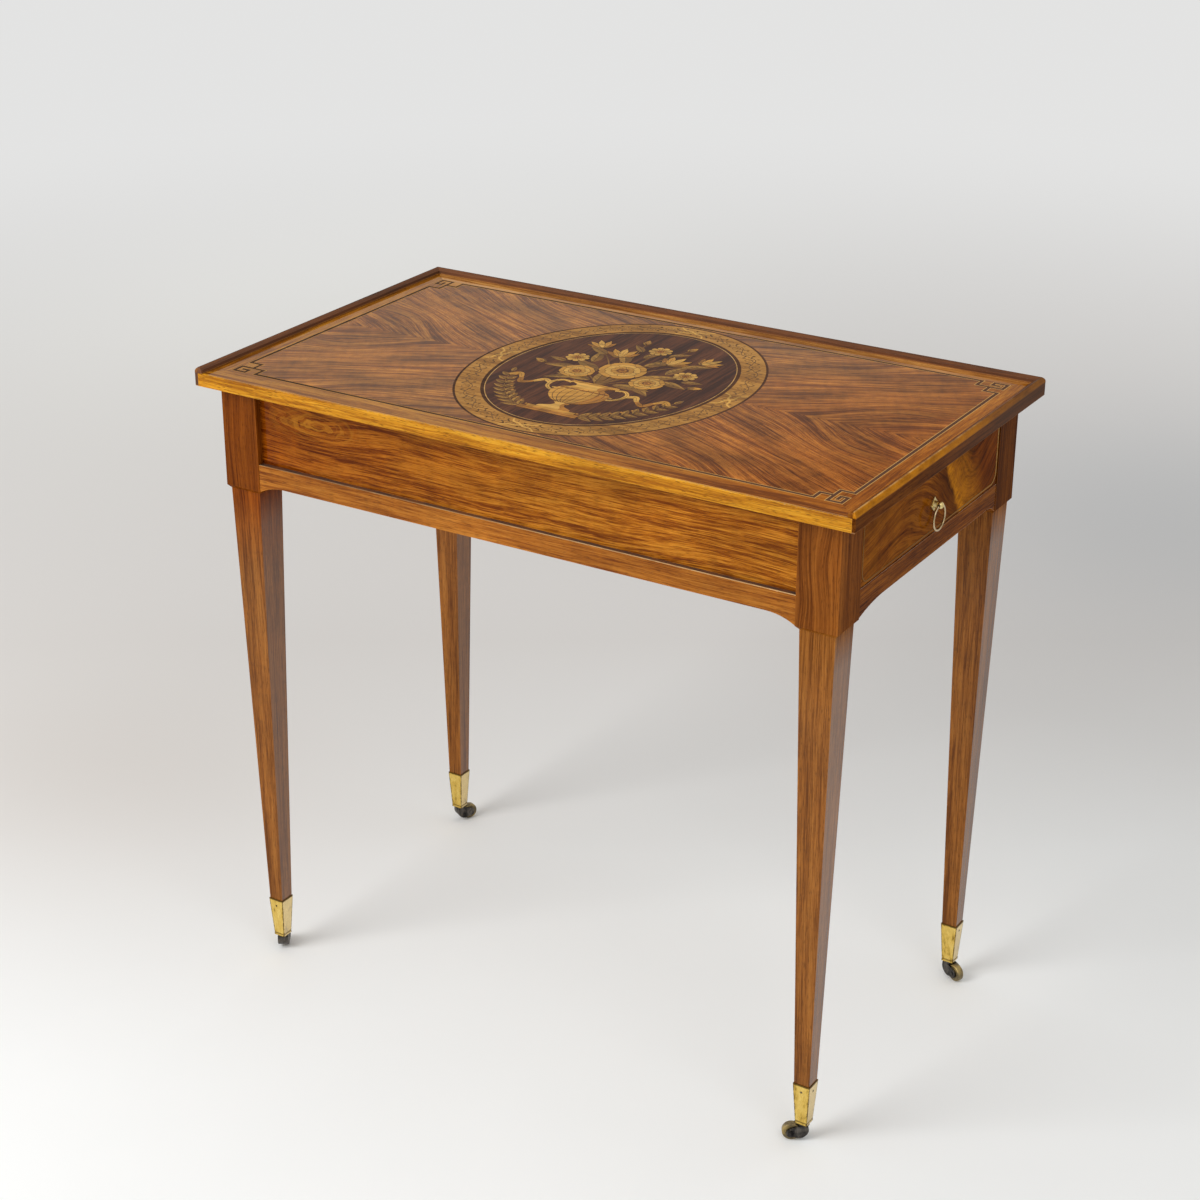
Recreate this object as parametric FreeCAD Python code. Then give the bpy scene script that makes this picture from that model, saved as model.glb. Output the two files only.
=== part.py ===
import FreeCAD
import Part
import math
import os

# Writing table with a veneered top, one long drawer at its right end and four tapered legs on casters.
# Millimetres. X runs along the table towards the drawer, Y towards the back, Z up from the floor.
# The origin is on the floor under the middle of the top.

# Top
top_length = 790.0
top_depth = 454.0
surface_height = 734.0
top_thickness = 14.5
veneer = 1.0
lipping = 3.0
lipping_round = 0.8

# Moulded rim on three edges of the top
rim_rise = 6.5
rim_cap = 9.0
rim_skirt = 4.0
rim_crest = 3.4
rim_nose_drop = 7.0
rim_fall = 2.3
rim_swell = 0.4
rim_inner_round = 0.8
rim_foot = 0.8
rim_end_round = 4.0

# Marquetry of the top
border = 21.0
stringing_width = 3.6
stringing_light = 0.8
key_step = 14.5
medallion_shift = -6.0
medallion_half_length = 159.0
medallion_clear = 0.3
medallion_line = 2.6
medallion_band_width = 27.0
medallion_ring = 4.0
medallion_fillet_width = 1.0
kerf = 0.1
past_corner = 1.2

# Posts, set in from the edges of the top
end_overhang = 21.0
front_overhang = 17.0
post = 46.0
step_drop = 4.0

# Legs below the posts
shaft_top = 39.0
shaft_bottom = 18.0
foot_bottom = 11.8

# Aprons
panel_height = 84.5
panel_recess = 8.0
panel_thickness = 18.0
rail_height = 23.0
rail_recess = 0.6
bracket_drop = 8.5
bracket_length = 32.0
drawer_bracket_front = 56.0
drawer_bracket_back = 22.0
tongue_thickness = 6.0
tongue_height = 6.0
tenon_thickness = 8.0
tenon_length = 15.0
tenon_shoulder = 8.0
rail_tenon_shoulder = 4.0
drawer_rail_depth = 28.0
fit = 0.1

# Drawer
drawer_rear_room = 121.0
drawer_recess = 1.0
drawer_gap = 1.0
drawer_front_thickness = 18.0
drawer_side_thickness = 10.0
drawer_back_thickness = 9.0
drawer_bottom_thickness = 6.0
drawer_bottom_height = 8.0
drawer_groove = 5.0
drawer_lap = 6.0
drawer_headroom = 1.5
slide_gap = 0.3
tail_count = 3
tail_neck = 12.0
tail_flare = 2.2

# Bead line inlaid round the drawer front
bead_margin = 2.0
bead_width = 1.4
bead_depth = 2.0
bead_proud = 0.4
bead_corner = 13.0

# What carries the drawer
runner_width = 17.0
runner_height = 14.0
runner_housing = 6.0
guide_gap = 0.6
guide_rise = 12.0
tie_depth = 29.0
tie_thickness = 12.0
tie_gap = 1.0
stop_length = 20.0
stop_depth = 8.0
stop_height = 6.0
stop_spread = 140.0

# Under the top
block_size = 17.0
block_length = 60.0
block_inset = 128.0
screw_inset = 78.0
screw_radius = 1.8
screw_head_radius = 3.6
screw_head_height = 2.4
screw_bite = 8.0

# Ring pull
pull_drop = 51.5
pull_star_tip = 8.2
pull_star_waist = 5.6
pull_star_thickness = 1.6
pull_neck_base = 4.0
pull_neck_radius = 2.6
pull_ball_radius = 4.0
pull_reach = 7.5
pull_eye_gap = 0.7
pull_stem_radius = 2.0
pull_stem_gap = 0.1
pull_nut_radius = 5.0
pull_nut_thickness = 3.5
pull_stem_end = 1.5
ring_radius = 13.4
ring_wire = 1.1

# Sabots
sabot_length = 51.5
sabot_wall = 0.95
sabot_floor = 2.0
sabot_lip = 0.3
sabot_lip_height = 2.4
sabot_pin_radius = 0.9
sabot_pin_length = 5.0
sabot_pin_proud = 0.25
sabot_pin_drop = 9.0

# Casters
wheel_radius = 10.0
wheel_width = 8.0
wheel_round = 1.6
wheel_headroom = 1.0
wheel_side_gap = 0.5
wheel_rim_gap = 1.0
trail = 13.0
crown_radius = 6.4
crown_thickness = 2.5
cheek = 1.8
horn_front = 4.5
horn_rear = 5.1
horn_shoulder_back = 1.6
horn_shoulder_drop = 1.4
horn_throat_back = 0.5
horn_throat_drop = 4.5
eye_radius = 5.6
axle_radius = 1.5
axle_head_radius = 2.4
axle_head_height = 0.6
swivel_gap = 0.3
stem_radius = 2.5
stem_length = 18.0
stem_hole_gap = 0.3
running_gap = 0.05

# Way each caster trails at rest, in degrees from +X
TRAIL_TURN = {"front_left": 122.0, "front_right": 212.0, "back_left": 62.0, "back_right": -28.0}
CORNERS = {"front_left": (-1, -1), "front_right": (1, -1), "back_left": (-1, 1), "back_right": (1, 1)}

# Levels and half sizes that follow from the sizes above
half_length = top_length / 2
half_depth = top_depth / 2
underside = surface_height - top_thickness
veneer_base = surface_height - veneer
rim_top = surface_height + rim_rise
string_x = half_length - rim_cap - border
string_y = half_depth - rim_cap - border
string_full = stringing_width + 2 * stringing_light
face_x = half_length - end_overhang
face_y = half_depth - front_overhang
inner_x = face_x - post
inner_y = face_y - post
rail_top = underside - panel_height
rail_bottom = rail_top - rail_height
post_bottom = rail_bottom - bracket_drop
step_bottom = post_bottom - step_drop
pull_height = underside - pull_drop
panel_back = panel_recess + panel_thickness
sabot_bottom = 2 * wheel_radius + wheel_headroom
sabot_top = sabot_bottom + sabot_length
foot_base = sabot_bottom + sabot_floor
drawer_half = inner_y - drawer_gap
drawer_face = face_x - drawer_recess
drawer_shoulder = drawer_face - drawer_front_thickness
drawer_end = panel_back - face_x + drawer_rear_room
drawer_low = rail_top + slide_gap
drawer_high = underside - tie_thickness - drawer_headroom
bottom_low = drawer_low + drawer_bottom_height
bottom_high = bottom_low + drawer_bottom_thickness
runner_outer = drawer_half + guide_gap
tie_front = drawer_shoulder - tie_gap
tie_rear = tie_front - tie_depth
kicker_low = underside - tie_thickness

X_AXIS = FreeCAD.Vector(1, 0, 0)
Y_AXIS = FreeCAD.Vector(0, 1, 0)
Z_AXIS = FreeCAD.Vector(0, 0, 1)
ORIGIN = FreeCAD.Vector(0, 0, 0)


def point(x, y, z):
    return FreeCAD.Vector(x, y, z)


def box(x_range, y_range, z_range):
    corner = point(x_range[0], y_range[0], z_range[0])
    return Part.makeBox(x_range[1] - x_range[0], y_range[1] - y_range[0], z_range[1] - z_range[0], corner)


def grown(shape, gap):
    """The bounding block of a straight-sided tenon, larger by a gap all round."""
    b = shape.BoundBox
    return box((b.XMin - gap, b.XMax + gap), (b.YMin - gap, b.YMax + gap), (b.ZMin - gap, b.ZMax + gap))


def prism(points, travel):
    return Part.Face(Part.makePolygon(points + points[:1])).extrude(travel)


def profile(edges, travel):
    return Part.Face(Part.Wire([edge.toShape() for edge in edges])).extrude(travel)


def line(a, b):
    return Part.LineSegment(a, b)


def arc(a, middle, b):
    return Part.Arc(a, middle, b)


def cylinder(radius, start, travel):
    return Part.makeCylinder(radius, travel.Length, start, travel)


def square(cx, cy, size, z):
    h = size / 2
    ways = ((-1, -1), (1, -1), (1, 1), (-1, 1))
    corners = [point(cx + sx * h, cy + sy * h, z) for sx, sy in ways]
    return Part.makePolygon(corners + corners[:1])


def frustum(cx, cy, low, z_low, high, z_high):
    return Part.makeLoft([square(cx, cy, low, z_low), square(cx, cy, high, z_high)], True, True)


def turned(shape, degrees):
    shape.rotate(ORIGIN, Z_AXIS, degrees)
    return shape


def mirrored(shape, normal):
    return shape.mirror(ORIGIN, normal)


def joined(shapes):
    return shapes[0].multiFuse(shapes[1:]).removeSplitter() if len(shapes) > 1 else shapes[0]


def post_centre(corner):
    sx, sy = CORNERS[corner]
    return sx * (face_x - post / 2), sy * (face_y - post / 2)


# Top

def rim_section(place):
    """Section of the rim, with place(u, z) giving the point u inwards from the outer face."""
    corner = 1 - math.sqrt(0.5)
    nose_low = rim_top - rim_nose_drop
    nose_middle = place(rim_crest * corner, rim_top - rim_nose_drop * corner)
    ledge = rim_top - rim_fall
    ledge_end = rim_cap - rim_inner_round
    cap_middle = place((rim_crest + ledge_end) / 2, (rim_top + ledge) / 2 + rim_swell)
    round_middle = place(rim_cap - rim_inner_round * corner, ledge - rim_inner_round * corner)
    return [
        line(place(rim_foot, underside), place(0, underside + rim_foot)),
        line(place(0, underside + rim_foot), place(0, nose_low)),
        arc(place(0, nose_low), nose_middle, place(rim_crest, rim_top)),
        arc(place(rim_crest, rim_top), cap_middle, place(ledge_end, ledge)),
        arc(place(ledge_end, ledge), round_middle, place(rim_cap, ledge - rim_inner_round)),
        line(place(rim_cap, ledge - rim_inner_round), place(rim_cap, surface_height)),
        line(place(rim_cap, surface_height), place(rim_skirt, surface_height)),
        line(place(rim_skirt, surface_height), place(rim_skirt, underside)),
        line(place(rim_skirt, underside), place(rim_foot, underside)),
    ]


def rim_end_waste():
    """What is rounded away from the top of the left rim at its front end."""
    x_range = (-half_length, rim_cap - half_length)
    front, low = -half_depth, rim_top - rim_end_round
    block = box(x_range, (front, front + rim_end_round), (low, rim_top))
    centre = point(x_range[0], front + rim_end_round, low)
    return block.cut(cylinder(rim_end_round, centre, X_AXIS * rim_cap))


def mitre_wedge(keep_side_rim):
    """Block past the mitre at the back left corner, for the side rim or for the back rim."""
    reach = rim_cap + 2 * rim_skirt
    x_out, y_out = -half_length, half_depth
    far = point(x_out + reach, y_out, underside) if keep_side_rim else point(x_out, y_out - reach, underside)
    corners = [point(x_out, y_out, underside), point(x_out + reach, y_out - reach, underside), far]
    return prism(corners, Z_AXIS * (rim_top - underside))


def rims():
    left = profile(rim_section(lambda u, z: point(u - half_length, -half_depth, z)), Y_AXIS * top_depth)
    left = left.cut([mitre_wedge(True), rim_end_waste()])
    back = profile(rim_section(lambda u, z: point(-half_length, half_depth - u, z)), X_AXIS * top_length)
    wedge = mitre_wedge(False)
    back = back.cut([wedge, mirrored(wedge, X_AXIS)])
    return {"left_rim": left, "right_rim": mirrored(left, X_AXIS), "back_rim": back}


board_x = (rim_skirt - half_length, half_length - rim_skirt)
board_y = (lipping - half_depth, half_depth - rim_skirt)


def screw_places():
    x_end = inner_x - screw_inset
    y = runner_outer - runner_width / 2
    return [(x, side * y) for side in (-1, 1) for x in (-x_end, 0, x_end)]


def screw(x, y):
    shank = cylinder(screw_radius, point(x, y, kicker_low), Z_AXIS * (tie_thickness + screw_bite))
    head = Part.makeCone(screw_head_radius, screw_radius, screw_head_height, point(x, y, kicker_low))
    return shank.fuse(head)


def top_board():
    core = box(board_x, board_y, (underside, veneer_base)).cut([screw(x, y) for x, y in screw_places()])
    front = box(board_x, (-half_depth, lipping - half_depth), (underside, surface_height))
    nose = [e for e in front.Edges if abs(e.CenterOfMass.y + half_depth) < 1e-6
            and abs(e.CenterOfMass.z - surface_height) < 1e-6]
    front = front.makeFillet(lipping_round, nose)
    return {"top_core": core, "front_lipping": front}


# Marquetry

def strip(start, end, width):
    """Flat strip of veneer between two points, half a width longer at each end."""
    h = width / 2
    x_range = (min(start[0], end[0]) - h, max(start[0], end[0]) + h)
    y_range = (min(start[1], end[1]) - h, max(start[1], end[1]) + h)
    return box(x_range, y_range, (veneer_base, surface_height))


def stringing_path():
    """Ends of each stretch of stringing: four long sides, and a square key turning round at each corner."""
    spiral = [(2, 0), (2, 1), (0, 1), (0, 0), (1, 0), (1, 0.5), (0.5, 0.5)]
    hook = [(0, 2), (1, 2), (1, 1)]
    turns = [((-1, -1), (1, 0), (0, 1)), ((-1, 1), (0, -1), (1, 0)),
             ((1, 1), (-1, 0), (0, -1)), ((1, -1), (0, 1), (-1, 0))]
    stretches = []
    for (sx, sy), along, across in turns:
        for path in (spiral, hook):
            places = [(sx * string_x + key_step * (i * along[0] + j * across[0]),
                       sy * string_y + key_step * (i * along[1] + j * across[1])) for i, j in path]
            stretches += list(zip(places, places[1:]))
    x_end, y_end = string_x - 2 * key_step, string_y - 2 * key_step
    for side in (-1, 1):
        stretches.append(((-x_end, side * string_y), (x_end, side * string_y)))
        stretches.append(((side * string_x, -y_end), (side * string_x, y_end)))
    return stretches


def oval(half_x, half_y):
    centre = point(medallion_shift, 0, veneer_base)
    end_x = centre + X_AXIS * half_x
    end_y = centre + Y_AXIS * half_y
    curve = Part.Ellipse(end_x, end_y, centre) if half_x > half_y else Part.Ellipse(end_y, end_x, centre)
    return Part.Face(Part.Wire([curve.toShape()])).extrude(Z_AXIS * veneer)


def marquetry():
    stretches = stringing_path()
    dark = joined([strip(a, b, stringing_width) for a, b in stretches])
    full = joined([strip(a, b, string_full) for a, b in stretches])
    sheet = box(board_x, board_y, (veneer_base, surface_height))
    field, band = sorted(sheet.cut(full).Solids, key=lambda solid: solid.BoundBox.XLength)

    # Mitres of the banding run from the key's corner to the corner of the board.
    mitres = []
    for sx, x_out in ((-1, board_x[0]), (1, board_x[1])):
        for sy, y_out in ((-1, board_y[0]), (1, board_y[1])):
            start = point(sx * string_x, sy * string_y, veneer_base)
            way = point(x_out, y_out, veneer_base) - start
            side = way.cross(Z_AXIS).normalize() * (kerf / 2)
            end = start + way * past_corner
            mitres.append(prism([start - side, end - side, end + side, start + side], Z_AXIS * veneer))
    band = band.cut(mitres)

    # The medallion's oval just clears the stringing at the front and back.
    half_x = medallion_half_length
    half_y = string_y - string_full / 2 - medallion_clear
    ovals = []
    for inset in (0, medallion_line, medallion_line + medallion_band_width,
                  medallion_line + medallion_band_width + medallion_ring,
                  medallion_line + medallion_band_width + medallion_ring + medallion_fillet_width):
        ovals.append(oval(half_x - inset, half_y - inset))
    seams = [strip((-string_x, 0), (string_x, 0), kerf),
             strip((medallion_shift, -string_y), (medallion_shift, string_y), kerf)]
    field = field.cut([ovals[0]] + seams)
    lines = Part.makeCompound([ovals[0].cut(ovals[1]), ovals[2].cut(ovals[3])])
    return {
        "crossband_veneer": band, "field_veneer": field,
        "stringing_core": dark, "stringing_lines": full.cut(dark),
        "medallion_lines": lines, "medallion_band": ovals[1].cut(ovals[2]),
        "medallion_fillet": ovals[3].cut(ovals[4]), "medallion_ground": ovals[4],
    }


# Aprons, drawn facing -Y with the outer face of the posts at -face, then turned to their side

def apron_tenons(span, centre, z_range):
    h = tenon_thickness / 2
    return [box(x, (centre - h, centre + h), z_range)
            for x in ((-span - tenon_length, -span), (span, span + tenon_length))]


def panel_tenons(span, face):
    centre = panel_recess + panel_thickness / 2 - face
    return apron_tenons(span, centre, (rail_top + tenon_shoulder, underside - tenon_shoulder))


def panel_tongue(span, face, gap):
    centre = panel_recess + panel_thickness / 2 - face
    h = tongue_thickness / 2 + gap
    low = rail_top - tongue_height - gap
    return box((-span - gap, span + gap), (centre - h, centre + h), (low, rail_top))


def apron_panel(span, face):
    body = box((-span, span), (panel_recess - face, panel_back - face), (rail_top, underside))
    return joined([body, panel_tongue(span, face, 0)] + panel_tenons(span, face))


def rail_tenons(span, face, depth):
    centre = rail_recess + depth / 2 - face
    return apron_tenons(span, centre, (rail_bottom + rail_tenon_shoulder, rail_top - rail_tenon_shoulder))


def bracket(way, span, y, length):
    """Curve from the foot of a bracket at one end of a rail up to the rail's straight lower edge."""
    radius = (length ** 2 + bracket_drop ** 2) / (2 * bracket_drop)
    swing = math.asin(length / radius) / 2
    start = span - length
    middle = point(way * (start + radius * math.sin(swing)), y, rail_bottom - radius * (1 - math.cos(swing)))
    return arc(point(way * span, y, post_bottom), middle, point(way * start, y, rail_bottom))


def apron_rail(span, face, depth, lengths):
    """Rail whose lower edge curves down at both ends into brackets that meet the posts."""
    y = rail_recess - face
    left, right = lengths
    edges = [
        line(point(-span, y, rail_top), point(span, y, rail_top)),
        line(point(span, y, rail_top), point(span, y, post_bottom)),
        bracket(1, span, y, right),
        line(point(span - right, y, rail_bottom), point(left - span, y, rail_bottom)),
        bracket(-1, span, y, left),
        line(point(-span, y, post_bottom), point(-span, y, rail_top)),
    ]
    return joined([profile(edges, Y_AXIS * depth)] + rail_tenons(span, face, depth))


def runner(side):
    y_range = sorted((side * runner_outer, side * (runner_outer - runner_width)))
    ends = (panel_back - face_x - runner_housing, face_x - rail_recess - drawer_rail_depth + runner_housing)
    return box(ends, y_range, (rail_top - runner_height, rail_top))


def aprons():
    """Panels and rails by name, and the tenons that the posts take."""
    rail_depth = panel_back - rail_recess
    runners = [runner(-1), runner(1)]
    housings = [grown(shape, fit) for shape in runners]
    nodes = {}
    tenons = []
    for name, span, face, turn in (("front", inner_x, face_y, 0), ("back", inner_x, face_y, 180),
                                   ("left", inner_y, face_x, 270)):
        rail = apron_rail(span, face, rail_depth, (bracket_length, bracket_length))
        rail = rail.cut(panel_tongue(span, face, fit))
        nodes[name + "_rail"] = turned(rail, turn).cut(housings)
        nodes[name + "_panel"] = turned(apron_panel(span, face), turn).cut(housings)
        tenons += [turned(t, turn) for t in panel_tenons(span, face) + rail_tenons(span, face, rail_depth)]
    drawer_brackets = (drawer_bracket_front, drawer_bracket_back)
    drawer_rail = apron_rail(inner_y, face_x, drawer_rail_depth, drawer_brackets)
    nodes["drawer_rail"] = turned(drawer_rail, 90).cut(housings)
    tenons += [turned(t, 90) for t in rail_tenons(inner_y, face_x, drawer_rail_depth)]
    nodes["drawer_tie"] = box((tie_rear, tie_front), (-inner_y - tenon_length, inner_y + tenon_length),
                              (kicker_low, underside))
    tenons.append(nodes["drawer_tie"])
    nodes["front_runner"], nodes["back_runner"] = runners
    return nodes, [grown(t, fit) for t in tenons]


def drawer_supports():
    guides = []
    kickers = []
    for side in (-1, 1):
        outer = side * (face_y - panel_back)
        guide_y = sorted((side * runner_outer, outer))
        guides.append(box((-inner_x, inner_x), guide_y, (rail_top - runner_height, rail_top + guide_rise)))
        kicker_y = sorted((side * runner_outer, side * (runner_outer - runner_width)))
        kicker = box((panel_back - face_x, tie_rear), kicker_y, (kicker_low, underside))
        kickers.append(kicker.cut([screw(x, y) for x, y in screw_places() if y * side > 0]))
    stop_front = drawer_shoulder - slide_gap
    stops = [box((stop_front - stop_depth, stop_front), (y - stop_length / 2, y + stop_length / 2),
                 (rail_top, rail_top + stop_height)) for y in (-stop_spread / 2, stop_spread / 2)]
    block_end = inner_x - block_inset
    blocks = []
    for side in (-1, 1):
        wall = side * (face_y - panel_back)
        for x in (-block_end, 0, block_end):
            corner = point(x - block_length / 2, wall, underside)
            corners = [corner, corner - Y_AXIS * (side * block_size), corner - Z_AXIS * block_size]
            blocks.append(prism(corners, X_AXIS * block_length))
    return {
        "drawer_guides": Part.makeCompound(guides), "drawer_kickers": Part.makeCompound(kickers),
        "drawer_stops": Part.makeCompound(stops), "glue_blocks": Part.makeCompound(blocks),
        "top_screws": Part.makeCompound([screw(x, y) for x, y in screw_places()]),
    }


# Drawer

def tails(side, shoulder, travel, z_range):
    """Dovetail tails on a drawer side, growing from a shoulder along X by travel."""
    y = side * (drawer_half - drawer_side_thickness)
    pitch = (z_range[1] - z_range[0]) / tail_count
    shapes = []
    for k in range(tail_count):
        z = z_range[0] + pitch * (k + 0.5)
        neck, end = tail_neck / 2, tail_neck / 2 + tail_flare
        corners = [point(shoulder, y, z - neck), point(shoulder + travel, y, z - end),
                   point(shoulder + travel, y, z + end), point(shoulder, y, z + neck)]
        shapes.append(prism(corners, Y_AXIS * (side * drawer_side_thickness)))
    return shapes


def drawer():
    inside = drawer_half - drawer_side_thickness
    back_shoulder = drawer_end + drawer_back_thickness
    board_top = bottom_high + fit
    tail_length = drawer_front_thickness - drawer_lap
    front_tails = {}
    back_tails = {}
    for side in (-1, 1):
        front_tails[side] = tails(side, drawer_shoulder, tail_length, (drawer_low, drawer_high))
        back_tails[side] = tails(side, back_shoulder, -drawer_back_thickness, (board_top, drawer_high))
    bottom_half = inside + drawer_groove - fit
    bottom = box((drawer_end, drawer_shoulder + drawer_groove - fit), (-bottom_half, bottom_half),
                 (bottom_low, bottom_high))
    groove = box((drawer_end - fit, drawer_shoulder + drawer_groove), (-bottom_half - fit, bottom_half + fit),
                 (bottom_low - fit, board_top))
    nodes = {"drawer_bottom": bottom}
    for side, name in ((-1, "drawer_front_side"), (1, "drawer_back_side")):
        y_range = sorted((side * inside, side * drawer_half))
        wall = box((back_shoulder, drawer_shoulder), y_range, (drawer_low, drawer_high))
        heel = box((drawer_end, back_shoulder), y_range, (drawer_low, board_top))
        nodes[name] = joined([wall, heel] + front_tails[side] + back_tails[side]).cut(groove)
    back = box((drawer_end, back_shoulder), (-drawer_half, drawer_half), (board_top, drawer_high))
    nodes["drawer_back"] = back.cut(back_tails[-1] + back_tails[1])
    front = box((drawer_shoulder, drawer_face), (-drawer_half, drawer_half),
                (rail_top + drawer_gap, underside - drawer_gap))
    front = front.cut(front_tails[-1] + front_tails[1] + [groove])
    stem_hole = cylinder(pull_stem_radius + pull_stem_gap, point(drawer_shoulder, 0, pull_height),
                         X_AXIS * drawer_front_thickness)
    bead = drawer_bead()
    nodes["drawer_front"] = front.cut([stem_hole, bead])
    nodes["drawer_bead"] = bead
    return nodes


def bead_block(margin, corner):
    """Block with rounded corners, set in from the edges of the drawer front by a margin."""
    half = drawer_half - margin
    z_range = (rail_top + drawer_gap + margin, underside - drawer_gap - margin)
    block = box((drawer_face - bead_depth, drawer_face + bead_proud), (-half, half), z_range)
    corners = [e for e in block.Edges if abs(e.tangentAt(e.FirstParameter).x) > 0.9]
    return block.makeFillet(corner, corners)


def drawer_bead():
    inner = bead_block(bead_margin + bead_width, bead_corner - bead_width)
    return bead_block(bead_margin, bead_corner).cut(inner)


# Ring pull

def pull():
    eye_x = drawer_face + pull_reach
    edges = []
    for k in range(4):
        tip_a, waist, tip_b = (math.radians(90 * k + turn) for turn in (0, 45, 90))
        places = [point(drawer_face, r * math.sin(t), pull_height + r * math.cos(t))
                  for r, t in ((pull_star_tip, tip_a), (pull_star_waist, waist), (pull_star_tip, tip_b))]
        edges.append(arc(*places))
    star = profile(edges, X_AXIS * pull_star_thickness)
    neck_start = point(drawer_face + pull_star_thickness, 0, pull_height)
    neck_length = pull_reach - pull_star_thickness
    neck = Part.makeCone(pull_neck_base, pull_neck_radius, neck_length, neck_start, X_AXIS)
    ball = Part.makeSphere(pull_ball_radius, point(eye_x, 0, pull_height))
    stem_length_in = drawer_front_thickness + pull_nut_thickness + pull_stem_end
    stem = cylinder(pull_stem_radius, point(drawer_face, 0, pull_height), X_AXIS * -stem_length_in)
    eye = cylinder(ring_wire + pull_eye_gap, point(eye_x, -pull_ball_radius, pull_height),
                   Y_AXIS * (2 * pull_ball_radius))
    boss = joined([star, neck, ball, stem]).cut(eye)
    nut_face = point(drawer_shoulder, 0, pull_height)
    hexagon = [nut_face + point(0, pull_nut_radius * math.cos(t), pull_nut_radius * math.sin(t))
               for t in (math.radians(60 * k) for k in range(6))]
    nut = prism(hexagon, X_AXIS * -pull_nut_thickness).cut(stem)
    ring = Part.makeTorus(ring_radius, ring_wire, point(eye_x, 0, pull_height - ring_radius), X_AXIS)
    return {"pull_boss": boss, "pull_nut": nut, "pull_ring": ring}


# Legs, sabots and casters

def sabot_pin(corner, along_x):
    """Pin driven through the sabot's outer face into the foot of the leg."""
    cx, cy = post_centre(corner)
    sx, sy = CORNERS[corner]
    z = sabot_top - sabot_pin_drop
    share = (z - sabot_bottom) / sabot_length
    size = foot_bottom + (shaft_bottom - foot_bottom) * share + 2 * sabot_wall
    reach = size / 2 + sabot_pin_proud
    if along_x:
        return cylinder(sabot_pin_radius, point(cx + sx * reach, cy, z), X_AXIS * (-sx * sabot_pin_length))
    return cylinder(sabot_pin_radius, point(cx, cy + sy * reach, z), Y_AXIS * (-sy * sabot_pin_length))


def sabot_pins(corner):
    return [sabot_pin(corner, True), sabot_pin(corner, False)]


def leg(corner, mortises):
    cx, cy = post_centre(corner)
    h = post / 2
    head = box((cx - h, cx + h), (cy - h, cy + h), (post_bottom, underside))
    step = frustum(cx, cy, shaft_top, step_bottom, post, post_bottom)
    shaft = frustum(cx, cy, shaft_bottom, sabot_top, shaft_top, step_bottom)
    foot = frustum(cx, cy, foot_bottom, foot_base, shaft_bottom, sabot_top)
    hole_depth = stem_length + stem_hole_gap
    hole = cylinder(stem_radius + stem_hole_gap, point(cx, cy, foot_base), Z_AXIS * hole_depth)
    return joined([head, step, shaft, foot]).cut(mortises + [hole] + sabot_pins(corner))


def sabot(corner):
    cx, cy = post_centre(corner)
    low = foot_bottom + 2 * sabot_wall
    outer = frustum(cx, cy, low, sabot_bottom, shaft_bottom + 2 * sabot_wall, sabot_top)
    lip_size = low + 2 * sabot_lip
    lip = frustum(cx, cy, lip_size, sabot_bottom, lip_size, sabot_bottom + sabot_lip_height)
    inside = frustum(cx, cy, foot_bottom, foot_base, shaft_bottom, sabot_top)
    bore = cylinder(stem_radius + running_gap, point(cx, cy, sabot_bottom), Z_AXIS * sabot_floor)
    return joined([outer, lip]).cut([inside, bore] + sabot_pins(corner))


def placed(shape, corner):
    cx, cy = post_centre(corner)
    shape.rotate(ORIGIN, Z_AXIS, TRAIL_TURN[corner])
    shape.translate(point(cx, cy, 0))
    return shape


def caster_fork():
    """Swivel pin, round crown and two curved cheeks, trailing along +X from the swivel axis."""
    crown_top = sabot_bottom - swivel_gap
    crown_low = crown_top - crown_thickness
    half = wheel_width / 2 + wheel_side_gap + cheek
    hub = point(trail, -half, wheel_radius)

    def on_eye(degrees):
        t = math.radians(degrees)
        return hub + point(eye_radius * math.cos(t), 0, eye_radius * math.sin(t))

    front = point(-horn_front, -half, crown_low)
    rear = point(horn_rear, -half, crown_low)
    shoulder = point(trail - horn_shoulder_back, -half, crown_low - horn_shoulder_drop)
    throat = point(-horn_throat_back, -half, wheel_radius - horn_throat_drop)
    edges = [
        line(front, rear),
        arc(rear, shoulder, on_eye(50)),
        arc(on_eye(50), on_eye(-35), on_eye(-120)),
        arc(on_eye(-120), throat, front),
    ]
    cheeks = profile(edges, Y_AXIS * (2 * half))
    slot_half = wheel_width / 2 + wheel_side_gap
    slot_start = point(trail, -slot_half, wheel_radius)
    slot = cylinder(wheel_radius + wheel_rim_gap, slot_start, Y_AXIS * (2 * slot_half))
    crown = cylinder(crown_radius, point(0, 0, crown_low), Z_AXIS * crown_thickness)
    stem_top = foot_base + stem_length
    stem = cylinder(stem_radius, point(0, 0, crown_top), Z_AXIS * (stem_top - crown_top))
    return joined([cheeks.cut(slot), crown, stem]).cut(caster_axle())


def caster_axle():
    half = wheel_width / 2 + wheel_side_gap + cheek
    centre = point(trail, 0, wheel_radius)
    shaft = cylinder(axle_radius, centre - Y_AXIS * half, Y_AXIS * (2 * half))
    heads = []
    for way in (Y_AXIS, -Y_AXIS):
        heads.append(cylinder(axle_head_radius, centre + way * half, way * axle_head_height))
    return joined([shaft] + heads)


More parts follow.
